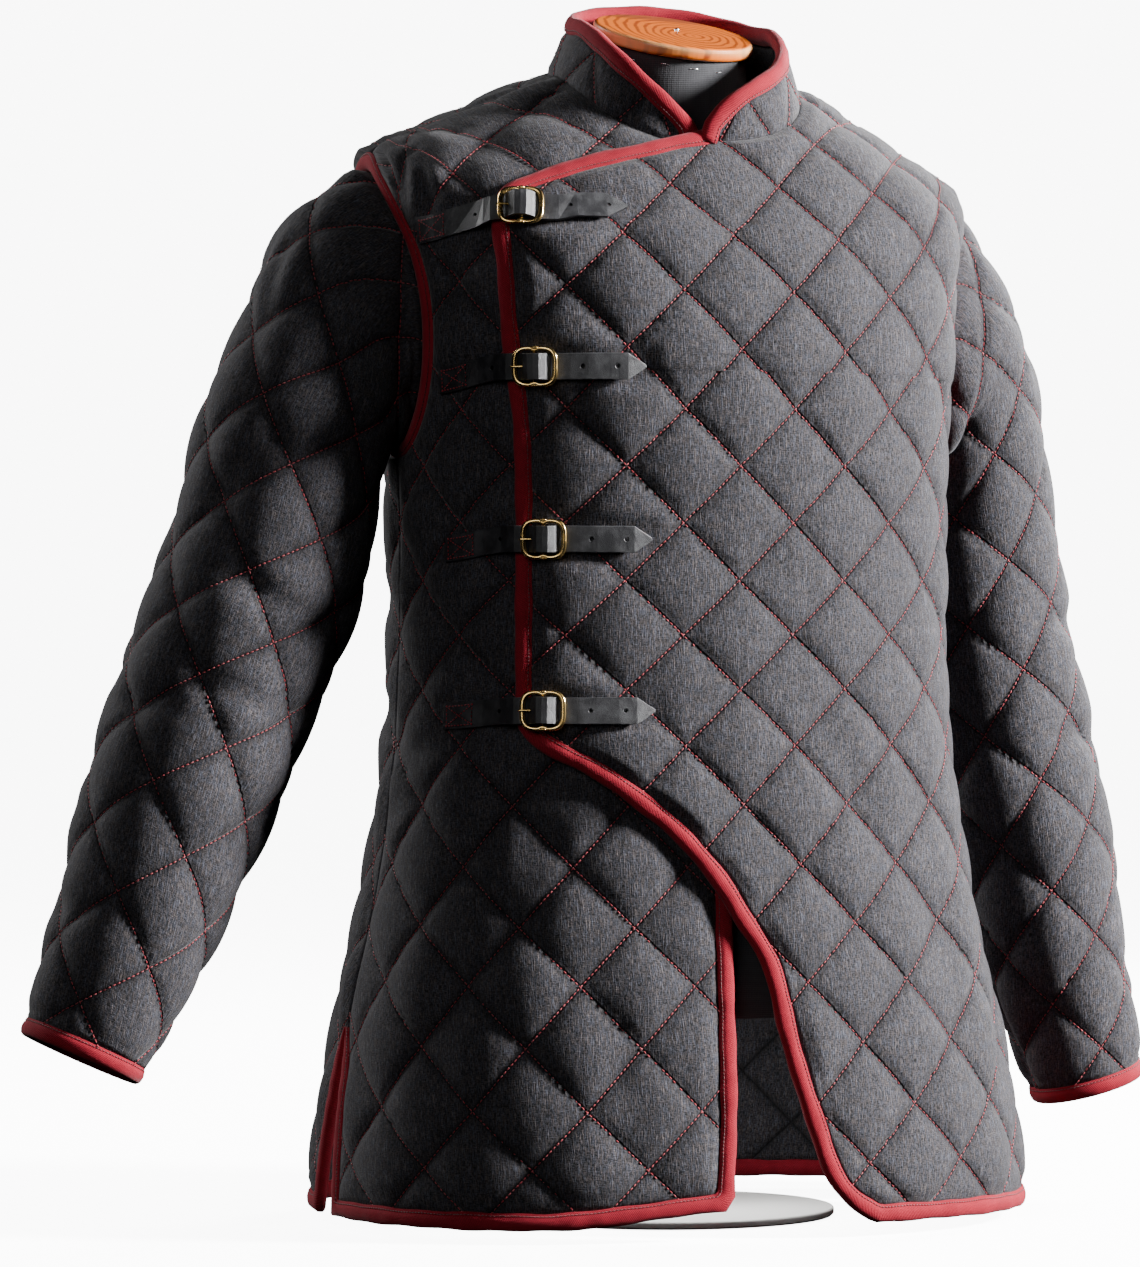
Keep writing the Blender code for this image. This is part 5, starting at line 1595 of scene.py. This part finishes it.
class GAMBESON_OT_sleeves(bpy.types.Operator):
    """Quilted sleeves, with the bindings of armholes and cuffs"""

    bl_idname = "gambeson.sleeves"
    bl_label = "Sleeves"

    def execute(self, context):
        for side, table, word, fold_table, net in (
            (-1, RIGHT_SLEEVE, "right", RIGHT_SLEEVE_FOLDS, RIGHT_LATTICE),
            (1, LEFT_SLEEVE, "left", LEFT_SLEEVE_FOLDS, LEFT_LATTICE),
        ):
            name = "sleeve_" + word
            seams[name] = [cloth_sleeve(side, table, name, fold_table, net)[2]]
            dress(pieces[name], materials["linen"], "quilted_linen", name)
            turn = np.linspace(-math.pi / 2, 1.5 * math.pi, 106)[:-1]
            near = armhole_place(side, turn, SEAM_GAP * 3)
            far = armhole_place(side, turn, BIND_WIDTH)
            low, high = body_point(*near), body_point(*far)
            out = body_normal(*near)
            lifted = (side > 0) & (np.abs(near[0]) < 90.0)
            lift = np.where(lifted, front_lift(near[0]), 0.0)
            centre = (low + high) / 2 + out * lift[:, None]
            width = np.linalg.norm(high - low, axis=-1)
            binding_name = "armhole_%s_binding" % word
            binding, seam = roll_binding(binding_name, centre, unit(high - low), out, width, True)
            last = float(len(table) - 1)
            rim = sleeve_point(side, table, np.full_like(turn, last), turn, 0.0)
            outward = unit(sleeve_point(side, table, np.full_like(turn, last), turn, 0.003) - rim)
            lean = math.radians(table[-1].lean)
            down = np.array([side * math.sin(lean), 0.0, -math.cos(lean)]) * np.ones((len(turn), 1))
            centre = rim + down * (SEAM_GAP + BIND_WIDTH / 2)
            cuff, cuff_seam = roll_binding("cuff_%s_binding" % word, centre, down, outward,
                                           np.full(len(turn), BIND_WIDTH), True)
            seams["bindings"] += [seam, cuff_seam]
            dress(binding, materials["binding"], "red_binding", "armhole_binding_" + word)
            dress(cuff, materials["binding"], "red_binding", "cuff_binding_" + word)
            pieces["armhole_" + word], pieces["cuff_" + word] = binding, cuff
        return {"FINISHED"}


class GAMBESON_OT_collar(bpy.types.Operator):
    """Standing collar and its binding"""

    bl_idname = "gambeson.collar"
    bl_label = "Collar"

    def execute(self, context):
        outer, normal, lines, (binding, seam) = cloth_collar()
        seams["collar"] = [lines]
        seams["bindings"].append(seam)
        dress(pieces["collar"], materials["linen"], "quilted_linen", "collar")
        dress(binding, materials["binding"], "red_binding", "collar_binding")
        pieces["collar_binding"] = binding
        return {"FINISHED"}


class GAMBESON_OT_fastenings(bpy.types.Operator):
    """Leather straps and keepers, brass buckles, and the thread of the straps"""

    bl_idname = "gambeson.fastenings"
    bl_label = "Straps and Buckles"

    def execute(self, context):
        leather, brass = leather_material(), brass_material()
        seams["straps"] = []
        for number, strap in enumerate(STRAPS, start=1):
            for node, word in (("strap", "leather"), ("chape", "keeper")):
                node = "%s_%d" % (node, number)
                piece = round_edges(cad_copy(node, "%s_%s" % (node, word)), 0.0006)
                dress(piece, leather, "black_leather", node)
            dress(make_buckle(number, strap), brass, "brass", "buckle_%d" % number, "prong_%d" % number)
            seams["straps"].append(box_stitches(strap))
        return {"FINISHED"}


class GAMBESON_OT_stitches(bpy.types.Operator):
    """Quilting, binding and strap stitches"""

    bl_idname = "gambeson.stitches"
    bl_label = "Stitches"

    def execute(self, context):
        cloth = settings()
        thread = thread_material("crimson_thread", tuple(cloth.thread))
        dark_thread = thread_material("dark_red_thread", tuple(part * 0.25 for part in cloth.thread))
        tree, dark_tree = stitch_tree(thread), stitch_tree(dark_thread)
        for name, paths in seams.items():
            binding, strap = name == "bindings", name == "straps"
            length = cloth.stitch * (0.75 if strap else 1.0)
            made = sew("stitches_" + name, dark_tree if binding else tree, paths,
                       cloth.pitch * (0.72 if strap or binding else 1.0),
                       length * (0.8 if binding else 1.0),
                       cloth.thickness * (1.15 if strap else 1.0), 0.0004)
            made.data.materials.clear()
            made.data.materials.append(dark_thread if binding else thread)
            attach(made, "root")
            pieces["stitches_" + name] = made
        for name, cut in CUTS.items():
            trimmings = [pieces[key] for key in cut.trimmings + ("stitches_" + name,)]
        return {"FINISHED"}


class GAMBESON_OT_form(bpy.types.Operator):
    """Limbless dress form, its pine cap, pole and foot plate"""

    bl_idname = "gambeson.form"
    bl_label = "Dress Form"

    def execute(self, context):
        dress(make_form(), jersey_material(), "form_jersey", "form_torso")
        cap, nail = make_cap()
        dress(cap, pine_material(CAP_CENTRE), "pine", "form_neck_cap")
        steel = steel_material()
        bright = Paint("bright_wire", 0.25, 1.0)
        scratch = bright.noise(bright.place(), 1500.0)
        tone = bright.mix(scratch, (0.75, 0.75, 0.77), (0.90, 0.90, 0.92))
        wire = bright.finish(tone, scratch, 0.0001, 0.3)
        dress(nail, wire, "white_steel")
        dress(make_staples(), wire, "white_steel")
        low, high = [np.array(corner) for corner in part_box("form_pole")]
        radius = (high[0] - low[0]) / 2
        pole = turned("stand_pole", ((radius, low[2]), (radius, high[2])))
        dress(pole, steel, "white_steel", "form_pole")
        low, high = [np.array(corner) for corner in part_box("form_base")]
        radius, thick = (high[0] - low[0]) / 2, high[2] - low[2]
        rim = [(radius - 0.002 * (1 - math.sin(turn)), thick - 0.002 * (1 - math.cos(turn)))
               for turn in np.linspace(math.pi / 2, 0.0, 6)]
        plate = turned("stand_plate", [(radius - 0.0015, 0.0), (radius, 0.0015)] + rim)
        dress(plate, steel, "white_steel", "form_base")
        return {"FINISHED"}


class GAMBESON_OT_stage(bpy.types.Operator):
    """Pale floor, soft lights and the camera"""

    bl_idname = "gambeson.stage"
    bl_label = "Stage"

    def execute(self, context):
        stage = context.scene.gambeson_stage
        bpy.ops.mesh.primitive_grid_add(x_subdivisions=8, y_subdivisions=8, size=24.0,
                                        location=(0.0, 0.0, -0.0005))
        floor = context.active_object
        floor.name = "studio_floor"
        floor.data.materials.append(floor_material())
        floor.visible_diffuse = floor.visible_glossy = False
        world = bpy.data.worlds.new("studio")
        world.use_nodes = True
        world.node_tree.nodes["Background"].inputs["Color"].default_value = (1.0, 1.0, 1.0, 1.0)
        world.node_tree.nodes["Background"].inputs["Strength"].default_value = stage.surround
        world.cycles_visibility.diffuse = world.cycles_visibility.glossy = False
        context.scene.world = world
        for each in LIGHTS:
            light = bpy.data.lights.new(each.name, "AREA")
            light.shape, light.size, light.energy = "DISK", each.size, each.share * stage.key
            lamp = new_object(each.name, light)
            lamp.location = each.place
            aim = Vector((0.0, 0.0, each.aim)) - Vector(each.place)
            lamp.rotation_euler = aim.to_track_quat("-Z", "Y").to_euler()
        camera = bpy.data.cameras.new("camera")
        camera.sensor_fit = "AUTO"
        camera.sensor_width = 36.0
        camera.lens = FOCAL
        camera.shift_x, camera.shift_y = SHIFT
        camera.clip_end = 60.0
        view = new_object("camera", camera)
        across, back = math.sin(stage.azimuth), -math.cos(stage.azimuth)
        view.location = (stage.distance * across, stage.distance * back, stage.height)
        view.rotation_euler = (math.pi / 2, 0.0, stage.azimuth)
        context.scene.camera = view
        return {"FINISHED"}


FOCAL = 182.98
SHIFT = (-0.07577, -0.03828)

# Each light's place, the height it aims at, its width, and its share of the key light's power
Light = namedtuple("Light", "name place aim size share")
LIGHTS = (
    Light("key_light", (2.90, -1.56, 1.72), 0.5, 0.7, 1.0),
    Light("rim_light", (2.2, 1.6, 1.6), 0.5, 1.0, 0.22),
    Light("back_light", (-2.2, 2.8, 2.0), 0.5, 2.2, 0.16),
    Light("fill_light", (-2.6, -3.2, 1.8), 0.5, 2.4, 0.045),
    Light("plate_light", (0.0, -0.02, 0.145), 0.0, 0.26, 0.0015),
)

OPERATORS = (
    GAMBESON_OT_panels, GAMBESON_OT_sleeves, GAMBESON_OT_collar, GAMBESON_OT_fastenings,
    GAMBESON_OT_stitches, GAMBESON_OT_form, GAMBESON_OT_stage,
)


class GAMBESON_PT_sidebar(bpy.types.Panel):
    """Shows the cloth and stage settings and the building steps in the sidebar"""

    bl_label = "Gambeson"
    bl_idname = "GAMBESON_PT_sidebar"
    bl_space_type = "VIEW_3D"
    bl_region_type = "UI"
    bl_category = "Gambeson"

    def draw(self, context):
        for group in (context.scene.gambeson_cloth, context.scene.gambeson_stage):
            for name in group.bl_rna.properties.keys():
                if name not in ("rna_type", "name"):
                    self.layout.prop(group, name)
        for operator in OPERATORS:
            self.layout.operator(operator.bl_idname)


CLASSES = (ClothSettings, StageSettings) + OPERATORS + (GAMBESON_PT_sidebar,)


def register():
    for item in CLASSES:
        bpy.utils.register_class(item)
    bpy.types.Scene.gambeson_cloth = bpy.props.PointerProperty(type=ClothSettings)
    bpy.types.Scene.gambeson_stage = bpy.props.PointerProperty(type=StageSettings)


def unregister():
    del bpy.types.Scene.gambeson_cloth
    del bpy.types.Scene.gambeson_stage
    for item in reversed(CLASSES):
        bpy.utils.unregister_class(item)


def main():
    register()
    for operator in OPERATORS:
        group, name = operator.bl_idname.split(".")
        getattr(getattr(bpy.ops, group), name)()


if __name__ == "__main__":
    main()
